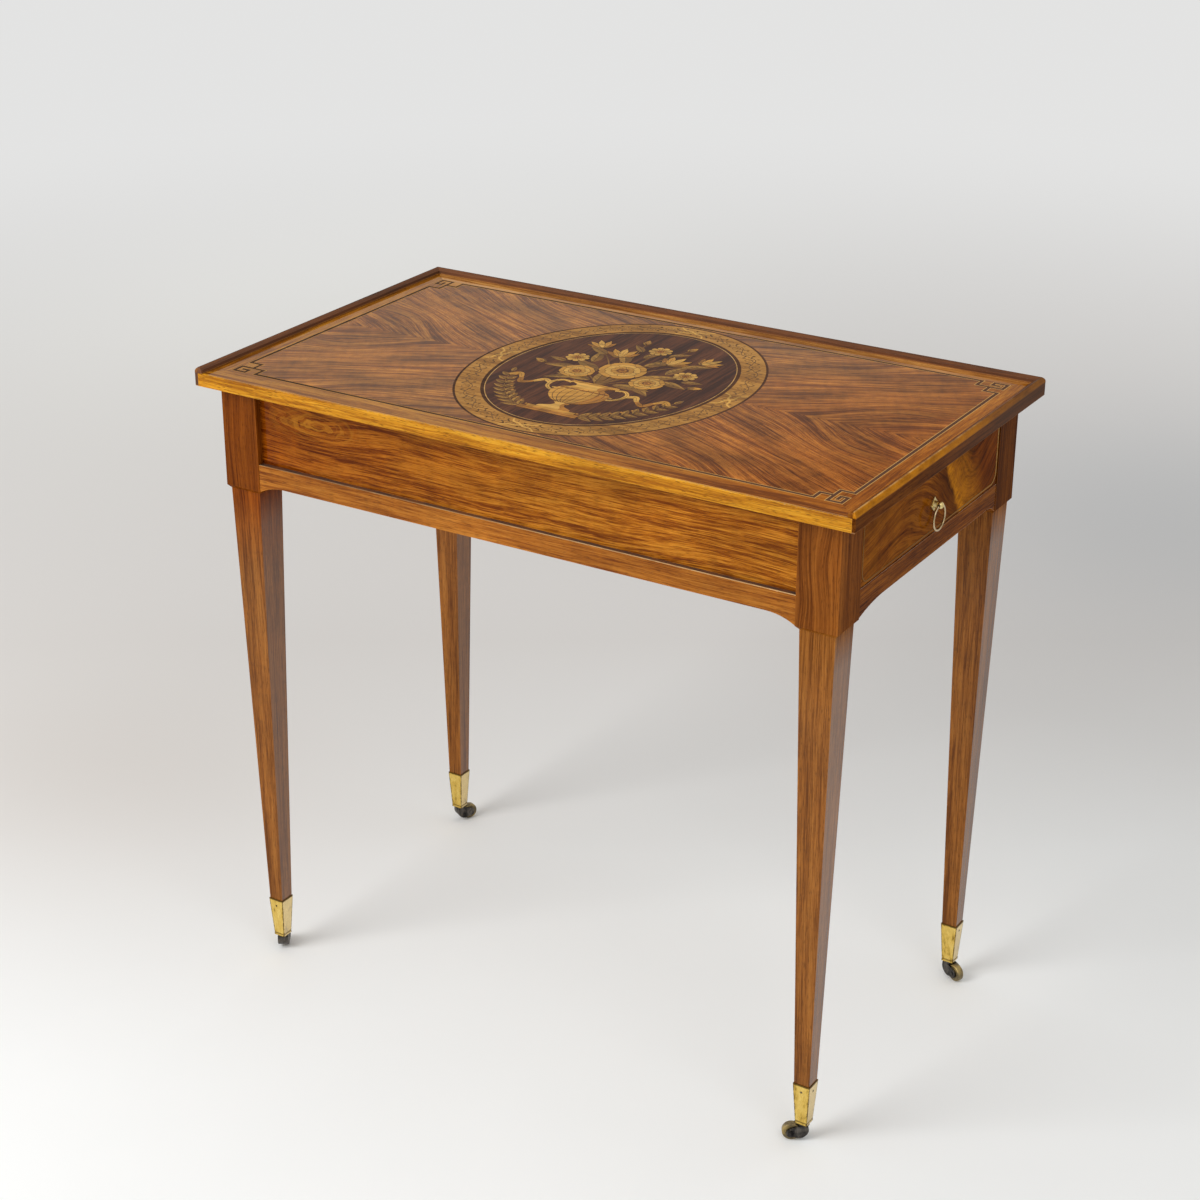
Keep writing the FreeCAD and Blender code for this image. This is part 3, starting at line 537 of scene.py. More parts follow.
def flame_figure(g, colour):
    """Drawer front on a plain core: amber flame in its back half, with feathered arcs and dark sides."""
    place = x, y, z = g.place()
    sway = g.times(g.minus(g.noise(place, (1, 55.0, 30.0), 4.0, 0.65), 0.5), 0.022)
    edge = g.plus(0.043, g.times(g.minus(0.668, z), 0.57), sway)
    past = g.minus(y, edge)
    u = g.minus(y, 0.085)
    v = g.minus(z, 0.610)
    reach = g.plus(g.length(u, v), g.times(sway, 0.6))
    arcs = g.noise((reach, u, v), (260.0, 70.0, 70.0), 4.0, 0.65)
    patch = g.noise(place, (1, 34.0, 34.0))
    body = g.most(g.between(past, 0.006, 0.030, 1.0, 0.0), g.between(past, 0.03, 0.09, 0.4, 0.0))
    flame = g.times(g.between(past, -0.002, 0.009), body, g.between(arcs, 0.36, 0.60, 0.40, 1.0),
                    g.between(patch, 0.36, 0.54, 0.40, 1.0))
    colour = g.blend(flame, colour, FLAME)
    shade = g.times(g.between(past, -0.035, -0.004, 0.0, 0.55), g.between(past, 0.0, 0.004, 1.0, 0.0))
    colour = g.blend(shade, colour, FLAME_EDGE)
    colour = g.glaze(g.between(past, 0.045, 0.080, 0.0, 0.85), colour, FLAME_END)
    ember = g.times(g.between(y, -0.150, -0.02, 0.5, 0.1), g.between(patch, 0.42, 0.66))
    colour = g.blend(ember, colour, EMBER)
    core = g.ramp(g.noise(place, (240.0, 9.0, 240.0)), (0.3, 0.5, 0.7), OAK)
    glue_line = DRAWER_FACE - VENEER
    return g.blend(g.between(x, glue_line - 0.2 * MM, glue_line, 1.0, 0.0), colour, core)


def paler_right(pale):
    """Stringing that is dim at the left and clearer, in the given colour, towards the drawer's end."""
    def tint(g, colour):
        return g.blend(g.between(g.place()[0], -0.20, 0.36, 0.0, 0.80), colour, pale)
    return tint


def worn_bead(g, colour):
    """Inlaid line gone brown, and paler towards the back corner."""
    return g.blend(g.between(g.place()[1], 0.02, 0.15, 0.80, 0.35), colour, BEAD_BROWN)


# Metals

def metal(name, tones, roughness, patina, dents, corner=0.9, pale=None, stained=None):
    """Cast and filed metal: cloudy tone, file marks up and down, patina that stays in the corners.

    tones are the tarnished, usual and bright colours. dents and corner, in millimetres, are the depth of the
    dents and the reach of the patina from an edge. pale is a painted reflection laid on the faces towards the
    drawer's end, and stained(graph) may name a share of the surface that is tarnished too.
    """
    g = Graph(bpy.data.materials.new(name))
    place = g.place()
    tarnish = tones[0]
    cloud = g.noise(place, (140.0, 140.0, 60.0), 5.0, 0.65)
    marks = g.noise(place, (2600.0, 2600.0, 130.0))
    colour = g.ramp(cloud, (0.30, 0.44, 0.62), tones)
    colour = g.glaze(g.between(marks, 0.52, 0.70, 0.0, 0.35), colour, tarnish)
    # Painted reflection on the faces towards the drawer's end.
    if pale:
        colour = g.blend(g.between(g.facing()[0], 0.4, 0.8, 0.0, 0.40), colour, pale)
    stain = g.times(g.edge(corner * MM), g.between(cloud, 0.40, 0.58, 0.30, 1.0), patina)
    if stained:
        stain = g.most(stain, stained(g))
    colour = g.blend(stain, colour, [0.6 * c for c in tarnish])
    rough = g.plus(g.between(cloud, 0.3, 0.7, roughness, roughness + 0.16), g.times(stain, 0.25))
    height = g.plus(g.times(cloud, 0.8), g.times(marks, 0.25))
    g.set(Base_Color=colour, Metallic=1.0, Roughness=rough, Normal=g.bump(height, dents * MM, 0.5))
    return g.owner


def sabot_lines(g):
    """Dark lines of a sabot, where the leg enters it, over its bottom lip and along its corners."""
    place = x, y, z = g.place()
    blotch = g.minus(g.noise(place, (300.0, 300.0, 300.0), 4.0), 0.5)
    level = g.plus(z, g.times(blotch, 2.0 * MM))
    top_line = g.between(g.minus(SABOT_HIGH[2], level), 1.2 * MM, 2.4 * MM, 0.95, 0.0)
    low_gap = g.absolute(g.minus(level, SABOT_LOW[2] + 3.0 * MM))
    low_line = g.between(low_gap, 0.4 * MM, 1.4 * MM, 0.7, 0.0)
    half = g.between(z, SABOT_LOW[2], SABOT_HIGH[2], SABOT_FOOT / 2, (SABOT_HIGH[0] - SABOT_LOW[0]) / 2)
    inside = g.times(half, 2.0)
    for part, low, high in zip((x, y), SABOT_LOW, SABOT_HIGH):
        inside = g.minus(inside, g.absolute(g.minus(g.absolute(part), abs(low + high) / 2)))
    seam = g.between(g.plus(inside, g.times(blotch, 4.0 * MM)), 0.2 * MM, 1.0 * MM, 0.95, 0.0)
    return g.most(top_line, low_line, seam)


def wheel_finish():
    """Worn dark wheel whose tread is rubbed to brass in places."""
    g = Graph(bpy.data.materials.new("wheel_finish"))
    place = g.place()
    grit = g.noise(place, (420.0, 420.0, 420.0), 5.0, 0.65)
    cloud = g.noise(place, (110.0, 110.0, 110.0), 3.0, 0.5)
    rubbed = g.between(cloud, 0.44, 0.62, 0.1, 0.85)
    colour = g.blend(rubbed, g.ramp(grit, (0.30, 0.50, 0.70), WHEEL), WHEEL_RUBBED)
    g.set(Base_Color=colour, Metallic=g.between(rubbed, 0.0, 1.0, 0.2, 0.9),
          Roughness=g.between(grit, 0.3, 0.7, 0.30, 0.55), Normal=g.bump(grit, 0.15 * MM, 0.5))
    return g.owner


# Flat shapes of the marquetry, in millimetres from the middle of the oval

def smooth(points, closed=False, steps=6):
    """Points along a smooth curve through the given ones."""
    row = [points[-1], *points, *points[:2]] if closed else [points[0], *points, points[-1]]
    curve = []
    for a, b, c, d in zip(row, row[1:], row[2:], row[3:]):
        for step in range(steps):
            t = step / steps
            curve.append(tuple(
                0.5 * (2 * q + (r - p) * t + (2 * p - 5 * q + 4 * r - s) * t * t
                       + (3 * q - p - 3 * r + s) * t ** 3)
                for p, q, r, s in zip(a, b, c, d)))
    return curve if closed else curve + [tuple(points[-1])]


def moved(points, place, degrees, size=1.0):
    c, s = math.cos(math.radians(degrees)) * size, math.sin(math.radians(degrees)) * size
    return [(place[0] + c * x - s * y, place[1] + s * x + c * y) for x, y in points]


def flipped(points):
    return [(-x, y) for x, y in points]


def ribbon(path, widths):
    """Outline of a strip along a path, its width passing evenly through the given values."""
    last = len(path) - 1
    left, right = [], []
    for i, (x, y) in enumerate(path):
        ax, ay = path[max(i - 1, 0)]
        bx, by = path[min(i + 1, last)]
        length = math.hypot(bx - ax, by - ay)
        spot = i / last * (len(widths) - 1)
        k = min(int(spot), len(widths) - 2)
        half = (widths[k] + (widths[k + 1] - widths[k]) * (spot - k)) / 2
        nx, ny = -(by - ay) / length * half, (bx - ax) / length * half
        left.append((x + nx, y + ny))
        right.append((x - nx, y - ny))
    return left + right[::-1]


def disc(place, radius, count=20):
    turns = [2 * math.pi * k / count for k in range(count)]
    return [(place[0] + radius * math.cos(t), place[1] + radius * math.sin(t)) for t in turns]


class Marquetry:
    """Pieces of veneer by wood, each an outline and the layer it is laid in.

    LIFT, LAYER and SUNK are millimetres: the lowest layer's rise, the step between layers, and the depth
    below the top. SHADE, STROKE and NEXT are layers: how far each of these lies above its piece.
    """

    LIFT = 0.02
    LAYER = 0.02
    SUNK = 0.25
    SHADE = 0.13
    STROKE = 0.26
    NEXT = 0.4

    def __init__(self):
        self.pieces = {}

    def lay(self, tone, layer, outline):
        self.pieces.setdefault(tone, []).append(([outline], layer))

    def strip(self, tone, layer, path, widths):
        """Narrow strip along a path, laid as a run of four-cornered lengths."""
        outline = ribbon(path, widths)
        left, right = outline[:len(path)], outline[:len(path) - 1:-1]
        quads = list(zip(left, left[1:], right[1:], right))
        self.pieces.setdefault(tone, []).append((quads, layer))

    def stroke(self, layer, path, widths, tone="engraving"):
        self.strip(tone, layer + self.STROKE, path, widths)

    def build(self, tone, material):
        """One piece of the scene from all the veneers of one tone, closed solids without inner walls."""
        mesh = bpy.data.meshes.new("inlay_" + tone)
        shape = bmesh.new()
        for outlines, layer in self.pieces[tone]:
            rise = (self.LIFT + self.LAYER * layer) * MM
            corners = {}
            for outline in outlines:
                for x, y in outline:
                    if (x, y) not in corners:
                        spot = (OVAL_X + x * MM, OVAL_Y + y * MM)
                        corners[x, y] = (shape.verts.new((*spot, SURFACE + rise)),
                                         shape.verts.new((*spot, SURFACE - self.SUNK * MM)))
            sides = {}
            for outline in outlines:
                shape.faces.new([corners[spot][0] for spot in outline])
                shape.faces.new([corners[spot][1] for spot in outline[::-1]])
                for side in zip(outline, [*outline[1:], outline[0]]):
                    key = frozenset(side)
                    sides[key] = None if key in sides else side
            for side in filter(None, sides.values()):
                (top_a, low_a), (top_b, low_b) = corners[side[0]], corners[side[1]]
                shape.faces.new((top_a, low_a, low_b, top_b))
        bmesh.ops.recalc_face_normals(shape, faces=shape.faces)
        bmesh.ops.triangulate(shape, faces=shape.faces, ngon_method="EAR_CLIP")
        shape.to_mesh(mesh)
        shape.free()
        mesh.materials.append(material)
        piece = added("inlay_" + tone, mesh)
        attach(piece, "frame")


def leaf(art, layer, place, degrees, length, width, bend, veins=4):
    """Leaf of two halves in different woods, with an engraved rib and veins."""
    count = 12
    shares = [k / count for k in range(count + 1)]
    spine = [(length * t, bend * length * t * t) for t in shares]
    reach = [width / 2 * math.sin(math.pi * t ** 0.8) for t in shares]
    for side, tone in ((1, "sage"), (-1, "olive")):
        edge = [(x, y + side * h) for (x, y), h in zip(spine, reach)]
        art.lay(tone, layer, moved(spine + edge[-2:0:-1], place, degrees))
    art.stroke(layer, moved(spine[:-1], place, degrees), (0.8, 0.3))
    for k in range(1, veins + 1):
        start = int(count * k / (veins + 1.6))
        for side in (1, -1):
            x, y = spine[start]
            h = reach[min(start + 2, count)] * 0.72
            art.stroke(layer, moved([(x, y), (x + h * 0.9, y + side * h)], place, degrees), (0.4, 0.2))


def petal(art, layer, tone, place, degrees, length, width, shade=None, pointed=False):
    """Rounded or pointed petal with an engraved edge and veins, darkened towards its base."""
    if pointed:
        half = [(0, 0), (0.35, 0.40), (0.68, 0.36), (0.9, 0.12), (1, 0)]
    else:
        half = [(0, 0), (0.28, 0.26), (0.66, 0.5), (0.92, 0.36), (0.97, 0)]
    corners = [(length * x, width * y) for x, y in half]
    outline = smooth(corners + [(x, -y) for x, y in corners[-2:0:-1]], True, 3)
    art.lay(tone, layer, moved(outline, place, degrees))
    art.stroke(layer, moved(outline + outline[:1], place, degrees), (0.45, 0.45))
    if shade:
        art.lay(shade, layer + art.SHADE, moved(outline, place, degrees, 0.55))
    for spread in (-12, 0, 12):
        mark = [(length * 0.34, 0), (length * 0.74, 0)]
        art.stroke(layer, moved(mark, place, degrees + spread), (0.45, 0.2))


def rose(art, layer, place, radius, turn):
    """Full flower of three rings of broad petals, each ring laid over the last."""
    rings = (
        (1.0, 6, 1.0, "straw", "honey"),
        (0.74, 5, 1.05, "cream", "straw"),
        (0.48, 5, 1.0, "straw", "russet"),
    )
    for ring, (share, count, breadth, tone, shade) in enumerate(rings):
        size = radius * share
        for k in range(count):
            level = layer + art.NEXT * (3 * ring + k % 3)
            petal(art, level, tone, place, turn + 31 * ring + 360 * k / count, size, size * breadth, shade)
    art.lay("honey", layer + 10 * art.NEXT, disc(place, radius * 0.17))
    art.lay("russet", layer + 11 * art.NEXT, disc(place, radius * 0.09, 12))


def daisy(art, layer, place, radius, turn):
    for k in range(9):
        petal(art, layer + art.NEXT * (k % 3), "cream", place, turn + 40 * k, radius, radius * 0.5, "straw")
    art.lay("russet", layer + 4 * art.NEXT, disc(place, radius * 0.27))
    for spot in disc(place, radius * 0.16, 7):
        art.lay("honey", layer + 5 * art.NEXT, disc(spot, radius * 0.045, 8))


def lily(art, layer, place, degrees, size):
    """Fan of pointed petals, the middle one foremost, held in two small leaves."""
    fan = ((50, 0.80, "honey"), (-50, 0.80, "honey"), (27, 0.94, "straw"), (-27, 0.94, "straw"),
           (0, 1.0, "cream"))
    for order, (lean, share, tone) in enumerate(fan):
        petal(art, layer + 0.6 * order, tone, place, degrees + lean, size * share, size * 0.34, None, True)
    for lean in (75, -75):
        leaf(art, layer + 3, place, degrees + lean, size * 0.34, size * 0.14, 0.0, veins=0)


def bud(art, layer, place, degrees, size):
    petal(art, layer, "straw", place, degrees, size, size * 0.56, "honey", True)
    for lean in (30, -30):
        leaf(art, layer + 1, place, degrees + lean, size * 0.6, size * 0.24, 0.0, veins=0)


def stem(art, layer, points, widths=(2.0, 1.1)):
    art.strip("olive", layer, smooth(points, steps=8), widths)


def urn(art, layer):
    """Fluted urn on a stepped plinth, shaded down its right side."""
    def both_halves(tone, half, share):
        art.lay(tone, layer, half + flipped(half)[::-1])
        art.lay("honey", layer + 1, half + [(x * share, y) for x, y in half[::-1]])

    shell = smooth([(7, -99), (19, -93), (30, -80), (33.5, -66), (30, -55), (21.5, -49)])
    art.lay("honey", layer, [(-36, -133), (36, -133), (36, -125), (-36, -125)])
    art.lay("straw", layer, [(-29, -125), (29, -125), (29, -119.5), (-29, -119.5)])
    art.stroke(layer, [(-36, -129), (36, -129)], (0.5, 0.5))
    foot = smooth([(20, -119.5), (18.5, -115), (9, -110), (6, -104), (9.5, -101), (7, -99)], steps=4)
    both_halves("cream", foot, 0.35)
    both_halves("straw", shell, 0.55)
    for share in (-0.82, -0.6, -0.36, -0.12, 0.12, 0.36, 0.6, 0.82):
        art.stroke(layer + 1, [(x * share, y) for x, y in shell[:-4]], (0.8, 0.5))
    for side in (-1, 1):
        for k in range(5):
            art.lay("cream", layer + 2, disc((side * (3.2 + 6.4 * k), -59.5), 1.6, 10))
    art.lay("russet", layer + 2, [(-30, -57), (30, -57), (29.5, -54.8), (-29.5, -54.8)])
    neck = smooth([(21.5, -49), (18, -45), (19.5, -40), (27, -36)], steps=4)
    both_halves("cream", neck, 0.5)
    art.lay("straw", layer + 1, [(-29.5, -36), (29.5, -36), (28.5, -31), (-28.5, -31)])
    art.stroke(layer + 1, [(-29, -33.5), (29, -33.5)], (0.5, 0.5))
    handle = smooth([(27, -38), (38, -36), (46, -46), (44, -60), (36, -68), (31, -66), (33, -61), (37, -62)])
    for path in (handle, flipped(handle)):
        art.strip("cream", layer - art.NEXT, path, (3.4, 4.6, 3.6, 2.0))
        art.stroke(layer - art.NEXT, path, (0.5, 0.4))


def streamer(art, layer):
    """Pair of fluttering ribbons from the urn's handles, whose folds change from light to dark wood."""
    path = smooth([(45, -52), (56, -45), (64, -56), (75, -64), (82, -52), (90, -42), (99, -50)], steps=10)
    fold = len(path) // 3
    for way in (lambda points: points, flipped):
        for k, tone in enumerate(("cream", "honey", "straw")):
            stretch = path[k * fold:(k + 1) * fold + 1]
            art.strip(tone, layer + k % 2, way(stretch), (4.5, 7.5, 5.0))
            art.stroke(layer + 1, way(stretch[2:-2]), (0.4, 0.3))


def laurel(art, layer):
    """Two sprays that follow the oval up from the plinth, with berries between their leaves."""
    half_x, half_y = (0.85 * half for half in GROUND_HALF)
    nodes = 9
    for side in (1, -1):
        path = []
        for k in range(nodes + 1):
            t = math.radians(-70 + 52 * k / nodes)
            path.append((side * half_x * math.cos(t), half_y * math.sin(t)))
        stem(art, layer, path, (1.8, 0.8))
        for k in range(nodes):
            (ax, ay), (bx, by) = path[k], path[k + 1]
            way = math.degrees(math.atan2(by - ay, bx - ax))
            for lean in (38, -38):
                level = layer + 1 + art.NEXT * (k % 3)
                leaf(art, level, path[k], way + lean, 20 - 0.7 * k, 7.5, 0.1 * lean / 38, veins=2)
            berry = (ax + side * -5, ay + 7)
            art.lay("honey", layer + 3, disc(berry, 1.8, 12))
            art.lay("cream", layer + 3.4, disc((berry[0] - 0.5, berry[1] + 0.6), 0.7, 8))
        leaf(art, layer + 1, path[-1], way, 15, 6, 0.0, veins=2)


def bouquet(art):
    """Flowers and leaves that fan out of the urn."""
    mouth = (0, -33)
    blooms = [((-66, 36), 40), ((67, 41), -40), ((-27, 66), 20), ((31, 70), -20), ((2, 100), 5),
              ((-60, 78), 30), ((62, 84), -30), ((-88, 4), 45), ((87, 9), -45), ((-24, 112), 12),
              ((28, 116), -12)]
    for order, ((x, y), bow) in enumerate(blooms):
        middle = ((mouth[0] + x) / 2 + bow * 0.25, (mouth[1] + y) / 2 + abs(bow) * 0.25)
        stem(art, art.SHADE * order, [mouth, middle, (x, y)])
    sprays = [((-14, -22), 168, 44, 15), ((14, -24), 12, 44, 15), ((-24, 6), 140, 46, 16),
              ((26, 8), 40, 46, 16), ((-10, 44), 116, 40, 14), ((12, 46), 62, 40, 14),
              ((-44, 30), 96, 38, 13), ((46, 34), 84, 38, 13), ((-50, 8), 186, 36, 13),
              ((52, 12), -4, 36, 13), ((-2, 70), 84, 26, 10), ((-44, 60), 142, 34, 12),
              ((48, 64), 38, 34, 12), ((-70, 18), 158, 24, 9), ((72, 22), 24, 24, 9),
              ((-14, 88), 128, 26, 9), ((18, 90), 50, 26, 9), ((-6, -26), 98, 38, 14),
              ((30, -14), -24, 40, 13), ((-30, -16), 204, 40, 13)]
    for order, (place, degrees, length, width) in enumerate(sprays):
        bend = 0.16 if degrees > 90 else -0.16
        leaf(art, 1.8 + art.NEXT * (order % 6), place, degrees, length, width, bend)
    flowers = [(bud, 5, (-88, 4), 158, 17), (bud, 5, (87, 9), 22, 17), (bud, 5, (-24, 112), 104, 16),
               (bud, 5, (28, 116), 74, 16), (lily, 5, (-60, 78), 124, 27), (lily, 5, (62, 84), 58, 27),
               (daisy, 5, (-66, 36), 14, 8), (daisy, 5, (67, 41), 14, 20), (daisy, 5, (2, 100), 14, 0),
               (lily, 6, (-27, 60), 104, 31), (lily, 6, (31, 64), 76, 31), (rose, 8, (-42, -4), 20, 10),
               (rose, 8, (43, 0), 20, 40), (rose, 10, (0, 22), 27, 0)]
    for flower, *setting in flowers:
        flower(art, *setting)


def band_place(turn, arc, rise):
    """Point on the medallion's band: an angle round the oval, then a run along it and a rise across it."""
    width = BAND_HALF[0] - GROUND_HALF[0] - FILLET_WIDTH
    half_x, half_y = BAND_HALF[0] - width / 2, BAND_HALF[1] - width / 2
    speed = math.hypot(half_x * math.sin(turn), half_y * math.cos(turn))
    t = turn + arc / speed
    nx, ny = math.cos(t) * half_y, math.sin(t) * half_x
    size = math.hypot(nx, ny)
    return half_x * math.cos(t) + nx / size * rise, half_y * math.sin(t) + ny / size * rise


def scroll_band(art):
    """Engraved running scroll round the band, parted by four pairs of crossed light ribbons."""
    units = 44
    pitch = 2 * math.pi / units
    mid_x, mid_y = (half - BAND_MIDDLE for half in BAND_HALF)
    sprigs = (((0, -1.5), 70, 4.0), ((-5, 1.5), 150, 6.0), ((6, 1), 25, 6.0), ((-8, -4), 235, 5.0),
              ((8, -4), -55, 5.0), ((2, 6), 100, 4.5), ((11, 3), 60, 5.0), ((-10, 4), 120, 5.0))
    curl = []
    for step in range(21):
        share = step / 20
        radius = 5.4 * (1 - share) + 0.9
        t = math.radians(190 - 520 * share)
        curl.append((radius * math.cos(t), radius * math.sin(t) - 3.4))
    for k in range(units):
        turn = pitch * (k + 0.5)
        side = 1 if k % 2 else -1
        half = pitch * math.hypot(mid_x * math.sin(turn), mid_y * math.cos(turn)) / 2

        def on_band(points):
            return [band_place(turn, a, side * b) for a, b in points]

        wave = [(half * (s / 6 - 1), 5.5 * math.cos(math.pi * (s / 6 - 1) / 2) - 0.5) for s in range(13)]
        art.stroke(0, on_band(wave), (0.8, 0.8), "scroll")
        art.stroke(0, on_band(curl), (0.8, 0.4), "scroll")
        for place, degrees, size in sprigs:
            blade = smooth([(0, 0), (size * 0.5, size * 0.2), (size, 0), (size * 0.5, -size * 0.14)], True, 3)
            art.lay("scroll", 0.5, on_band(moved(blade, place, degrees)))
    for k in range(4):
        turn = math.pi / 2 * k
        for way in (1, -1):
            run = smooth([(-19 * way, -12.8), (-13 * way, -5), (-4 * way, -3), (4 * way, 3), (13 * way, 5),
                          (19 * way, 12.8)])
            path = [band_place(turn, a, b) for a, b in run]
            art.strip("cream", 1.2 + art.NEXT * way, path, (1.8, 2.6, 1.8))


def inlay_tone(name, colour, degrees):
    """Coloured veneer of one marquetry wood, its grain turned by the given degrees."""
    def axes(g):
        x, y, z = g.place()
        return *turned(g, x, y, math.radians(degrees)), z

    tones = ([0.62 * c for c in colour], colour, [min(1.0, 1.18 * c) for c in colour])
    return wood(name, axes, tones, 0.004, 0.01, streaks=0.3, pores=0.25, sheen=0.3, gloss=1.17, coat=0.55)


def marquetry():
    """Medallion's picture and the scroll of its band, one piece for each tone of veneer."""
    art = Marquetry()
    laurel(art, 0)
    streamer(art, 3)
    bouquet(art)
    urn(art, 7)
    scroll_band(art)
    for order, (tone, colour) in enumerate(INLAY_COLOURS.items()):
        art.build(tone, inlay_tone("veneer_" + tone, colour, INLAY_TURN * order))


# Finishes of the solids

def dress(material, *names):
    for name in names:
        for slot in frame["nodes"][name].material_slots:
            slot.material = material


def by_corner(*prefixes):
    """Names of the solids of each kind that stand one at every corner of the table."""
    return [prefix + corner for prefix in prefixes for corner in CORNERS]


def dress_legs_and_aprons():
    curls = [(0.672, 0.352, 0.042, 0.013, 0.007), (0.632, 0.340, 0.030, 0.010, -0.004),
             (0.66, -0.36, 0.05, 0.02, 0.004)]
    dress(wood("leg_wood", "zxy", ROSEWOOD, 0.003, 0.005, curls, figure=0.75, streaks=0.6, veins=0.55,
               run=2.6, gloss=1.6, wear_and_highlight=0.3, tint=painted_leg_shade_and_reflection), *by_corner("leg_"))
    rail = dict(stripe=0.003, warp=0.008, figure=0.7, streaks=0.6, wear_and_highlight=0.5)
    dress(wood("long_rail_wood", "xzy", RAIL, tint=ledge_shade_and_highlight, **rail), "front_rail", "back_rail")
    dress(wood("end_rail_wood", "yzx", CROTCH, coat=0.3, tint=dust_and_highlight_edges, **rail),
          "left_rail", "drawer_rail")

    knots = [(-0.25, 0.691, 0.060, 0.020, 0.012), (0.02, 0.72, 0.20, 0.04, 0.02),
             (0.24, 0.64, 0.14, 0.03, -0.012)]
    panel = dict(stripe=0.0028, warp=0.016, streaks=1.0, veins=0.35, run=0.8, sheen=0.4, coat=0.6)
    dress(wood("front_panel_wood", "xzy", FIGURED, swirls=knots, tint=panel_figure, **panel),
          "front_panel")
    dress(wood("back_panel_wood", "xzy", FIGURED, **panel), "back_panel")
    dress(wood("left_panel_wood", "yzx", FIGURED, **panel), "left_panel")

    bends = [(0.10, 0.655, 0.06, 0.06, 0.045), (-0.06, 0.69, 0.08, 0.05, -0.03)]
    dress(wood("drawer_front_wood", "yzx", CROTCH, 0.004, 0.03, bends, figure=0.8, veins=0.2, sheen=0.4,
               coat=0.16, tint=flame_figure), "drawer_front")
    dress(wood("boxwood_bead", "yzx", BOXWOOD, 0.004, 0.01, streaks=0.3, pores=0.2, coat=0.2,
               tint=worn_bead), "drawer_bead")


def dress_top():
    dress(wood("lipping_wood", "xzy", LIPPING, 0.003, 0.005, pores=0.8, wear_and_highlight=0.5), "front_lipping")
    rim = dict(stripe=0.003, warp=0.006, coat=0.18)
    dress(wood("side_rim_wood", "yxz", RIM, tint=rim_painted_light("x", RIM_X), **rim), "left_rim", "right_rim")
    dress(wood("back_rim_wood", "xyz", RIM, tint=rim_painted_light("y", RIM_Y), **rim), "back_rim")

    clouds = [(0.25, 0.06, 0.07, 0.035, 0.022), (0.30, -0.09, 0.06, 0.03, -0.02)]
    dress(wood("field_wood", quarter_matched, FIELD, 0.003, 0.022, clouds, figure=0.9, streaks=0.9, pores=0.6,
               run=1.3, sheen=0.7, gloss=1.17, tint=redder_right), "field_veneer")
    veneer = dict(stripe=0.004, warp=0.01, gloss=1.17)
    dress(wood("banding_wood", framed, BANDING, pores=0.55, tint=redder_right, **veneer), "crossband_veneer")
    dress(wood("band_wood", "xyz", AMBER, streaks=0.4, coat=0.6, **veneer), "medallion_band")
    dress(wood("ground_wood", "yxz", UMBER, streaks=0.4, coat=0.5, **veneer), "medallion_ground")
    line = dict(streaks=0.3, **veneer)
    dress(wood("ebony_line", "xyz", WENGE, coat=0.2, tint=paler_right(EBONY_PALE), **line),
          "stringing_core", "medallion_lines")
    dress(wood("straw_line", "xyz", STRAW, pores=0.2, coat=0.5, tint=paler_right(STRAW_PALE), **line),
          "stringing_lines")
    dress(wood("boxwood_line", "xyz", BOXWOOD, pores=0.2, coat=0.5, **line), "medallion_fillet")


def dress_hidden_woods():
    plain = dict(stripe=0.006, warp=0.02, streaks=0.45, pores=0.7, polish=0.45)
    dress(wood("oak_along", "xyz", OAK, **plain), "top_core", "front_runner", "back_runner",
          "drawer_guides", "drawer_kickers", "glue_blocks", "drawer_front_side", "drawer_back_side")
    dress(wood("oak_across", "yxz", OAK, **plain),
          "drawer_tie", "drawer_stops", "drawer_back", "drawer_bottom")


def dress_metals():
    sabot = metal("sabot_brass", SABOT_BRASS, 0.15, 0.95, 0.05, 2.2, SABOT_PAINTED_REFLECTION, sabot_lines)
    dress(sabot, *by_corner("sabot_"))
    dress(metal("pull_brass", PULL_BRASS, 0.22, 0.8, 0.06), "pull_boss", "pull_nut")
    dress(metal("ring_brass", RING_BRASS, 0.18, 0.7, 0.05), "pull_ring")
    bronze = metal("dark_bronze", BRONZE, 0.30, 0.5, 0.12)
    dress(bronze, "sabot_pins", *by_corner("caster_fork_", "caster_axle_"))
    dress(wheel_finish(), *by_corner("caster_wheel_"))
    dress(metal("screw_steel", STEEL, 0.30, 0.5, 0.06), "top_screws")


# Softened edges

def soften(width, *names):
    """Welds the facets of a solid and rounds its sharp edges a little, so that they catch the light."""
    for name in names:
        solid = frame["nodes"][name]
        weld = solid.modifiers.new("weld", "WELD")
        weld.merge_threshold = WELD_REACH
        bevel = solid.modifiers.new("soft_edges", "BEVEL")
        bevel.width = width
        bevel.segments = 2
        bevel.limit_method = "ANGLE"
        bevel.angle_limit = math.radians(SHARP_DEGREES)


# Stage, light and camera

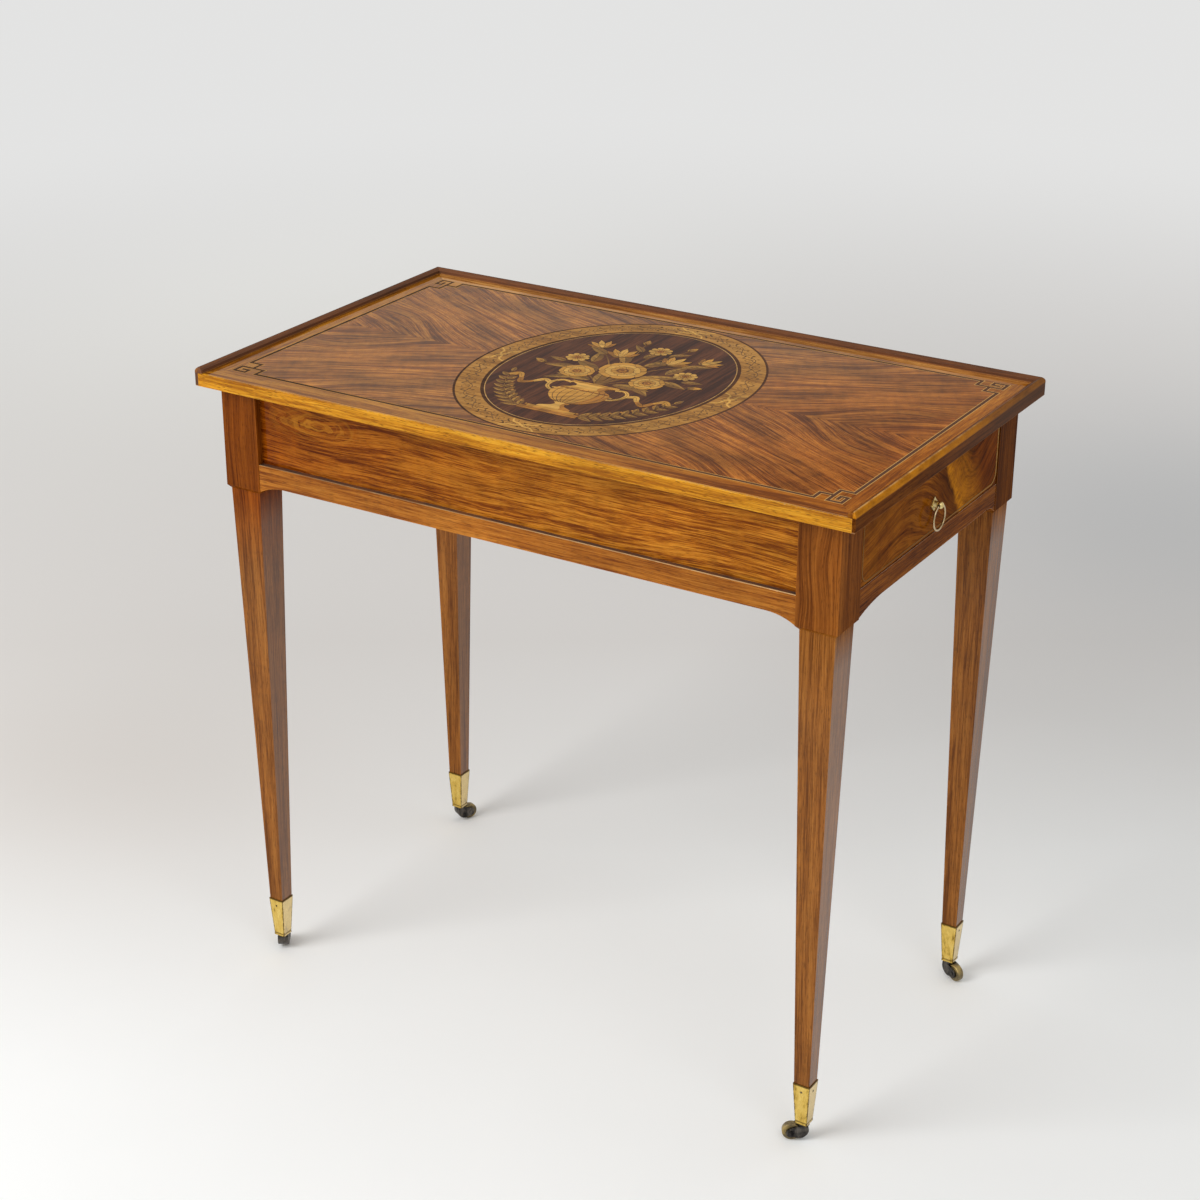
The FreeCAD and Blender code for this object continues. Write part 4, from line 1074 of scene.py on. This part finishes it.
def stage():
    """Pale floor, which fades to an even pale backdrop well away from the table."""
    mesh = bpy.data.meshes.new("floor")
    shape = bmesh.new()
    bmesh.ops.create_circle(shape, cap_ends=True, segments=96, radius=FLOOR_RADIUS)
    shape.to_mesh(mesh)
    shape.free()
    floor = added("floor", mesh)
    g = Graph(bpy.data.materials.new("pale_floor"))
    place = g.place()
    x, y = place[:2]
    haze = g.noise(place, (1.5, 1.5, 1), 4.0, 0.55)
    colour = g.ramp(haze, (0.3, 0.7), FLOOR_TONES)
    # Painted shade on the floor behind the table.
    shade_behind = g.between(g.minus(g.times(y, 0.84), g.times(x, 0.54)), 0.25, 0.90)
    colour = g.blend(shade_behind, colour, FLOOR_PAINTED_SHADE)
    # Patches of painted shade and painted light on the floor.
    for spot, shade in FLOOR_PAINTED_LIGHT_AND_SHADE:
        colour = g.blend(hill(g, x, y, spot), colour, shade)
    g.set(Base_Color=colour, Roughness=g.between(haze, 0.3, 0.7, 0.55, 0.7), Specular_IOR_Level=0.2)

    glow = g.node("Emission")
    glow.inputs["Color"].default_value = BACKDROP
    away = g.between(g.length(x, y), *FLOOR_FADE, kind="SMOOTHSTEP")
    surface = g.fill(g.node("MixShader"), g.times(away, g.seen()), g.shader.outputs[0], glow.outputs[0])
    g.feed(g.tree.nodes["Material Output"].inputs["Surface"], surface)
    mesh.materials.append(g.owner)


def world():
    """Even white light, a little brighter where it is seen directly or in a reflection."""
    g = Graph(bpy.data.worlds.new("studio"), "Background")
    bpy.context.scene.world = g.owner
    g.set(Color=WORLD_COLOUR, Strength=g.between(g.seen(), 0.0, 1.0, WORLD_LIGHT, WORLD_SEEN))


def lamp(name, place, aim, size, power):
    """Round lamp at a place, turned so that it shines on its aim."""
    data = bpy.data.lights.new(name, "AREA")
    data.shape = "DISK"
    data.size = size
    data.energy = power
    made = added(name, data)
    made.location = place
    way = [a - b for a, b in zip(aim, place)]
    flat = math.hypot(way[0], way[1])
    made.rotation_euler = (math.atan2(flat, -way[2]), 0.0, math.atan2(-way[0], way[1]))


def camera():
    data = bpy.data.cameras.new("camera")
    data.sensor_width = CAMERA_SENSOR
    data.lens = CAMERA_LENS
    data.shift_x, data.shift_y = CAMERA_SHIFT
    data.clip_end = CAMERA_REACH
    made = added("camera", data)
    made.location = CAMERA_PLACE
    made.rotation_euler = [math.radians(turn) for turn in CAMERA_TURN]
    bpy.context.scene.camera = made


dress_legs_and_aprons()
dress_top()
dress_hidden_woods()
dress_metals()
soften(SOFT_WOOD, "drawer_front", "front_rail", "back_rail", "left_rail", "drawer_rail", *by_corner("leg_"))
soften(SOFT_METAL, *by_corner("sabot_", "caster_fork_"))
marquetry()
stage()
world()
for name, setting in LAMPS.items():
    lamp(name, *setting)
camera()
bpy.context.scene.view_settings.view_transform = "Standard"
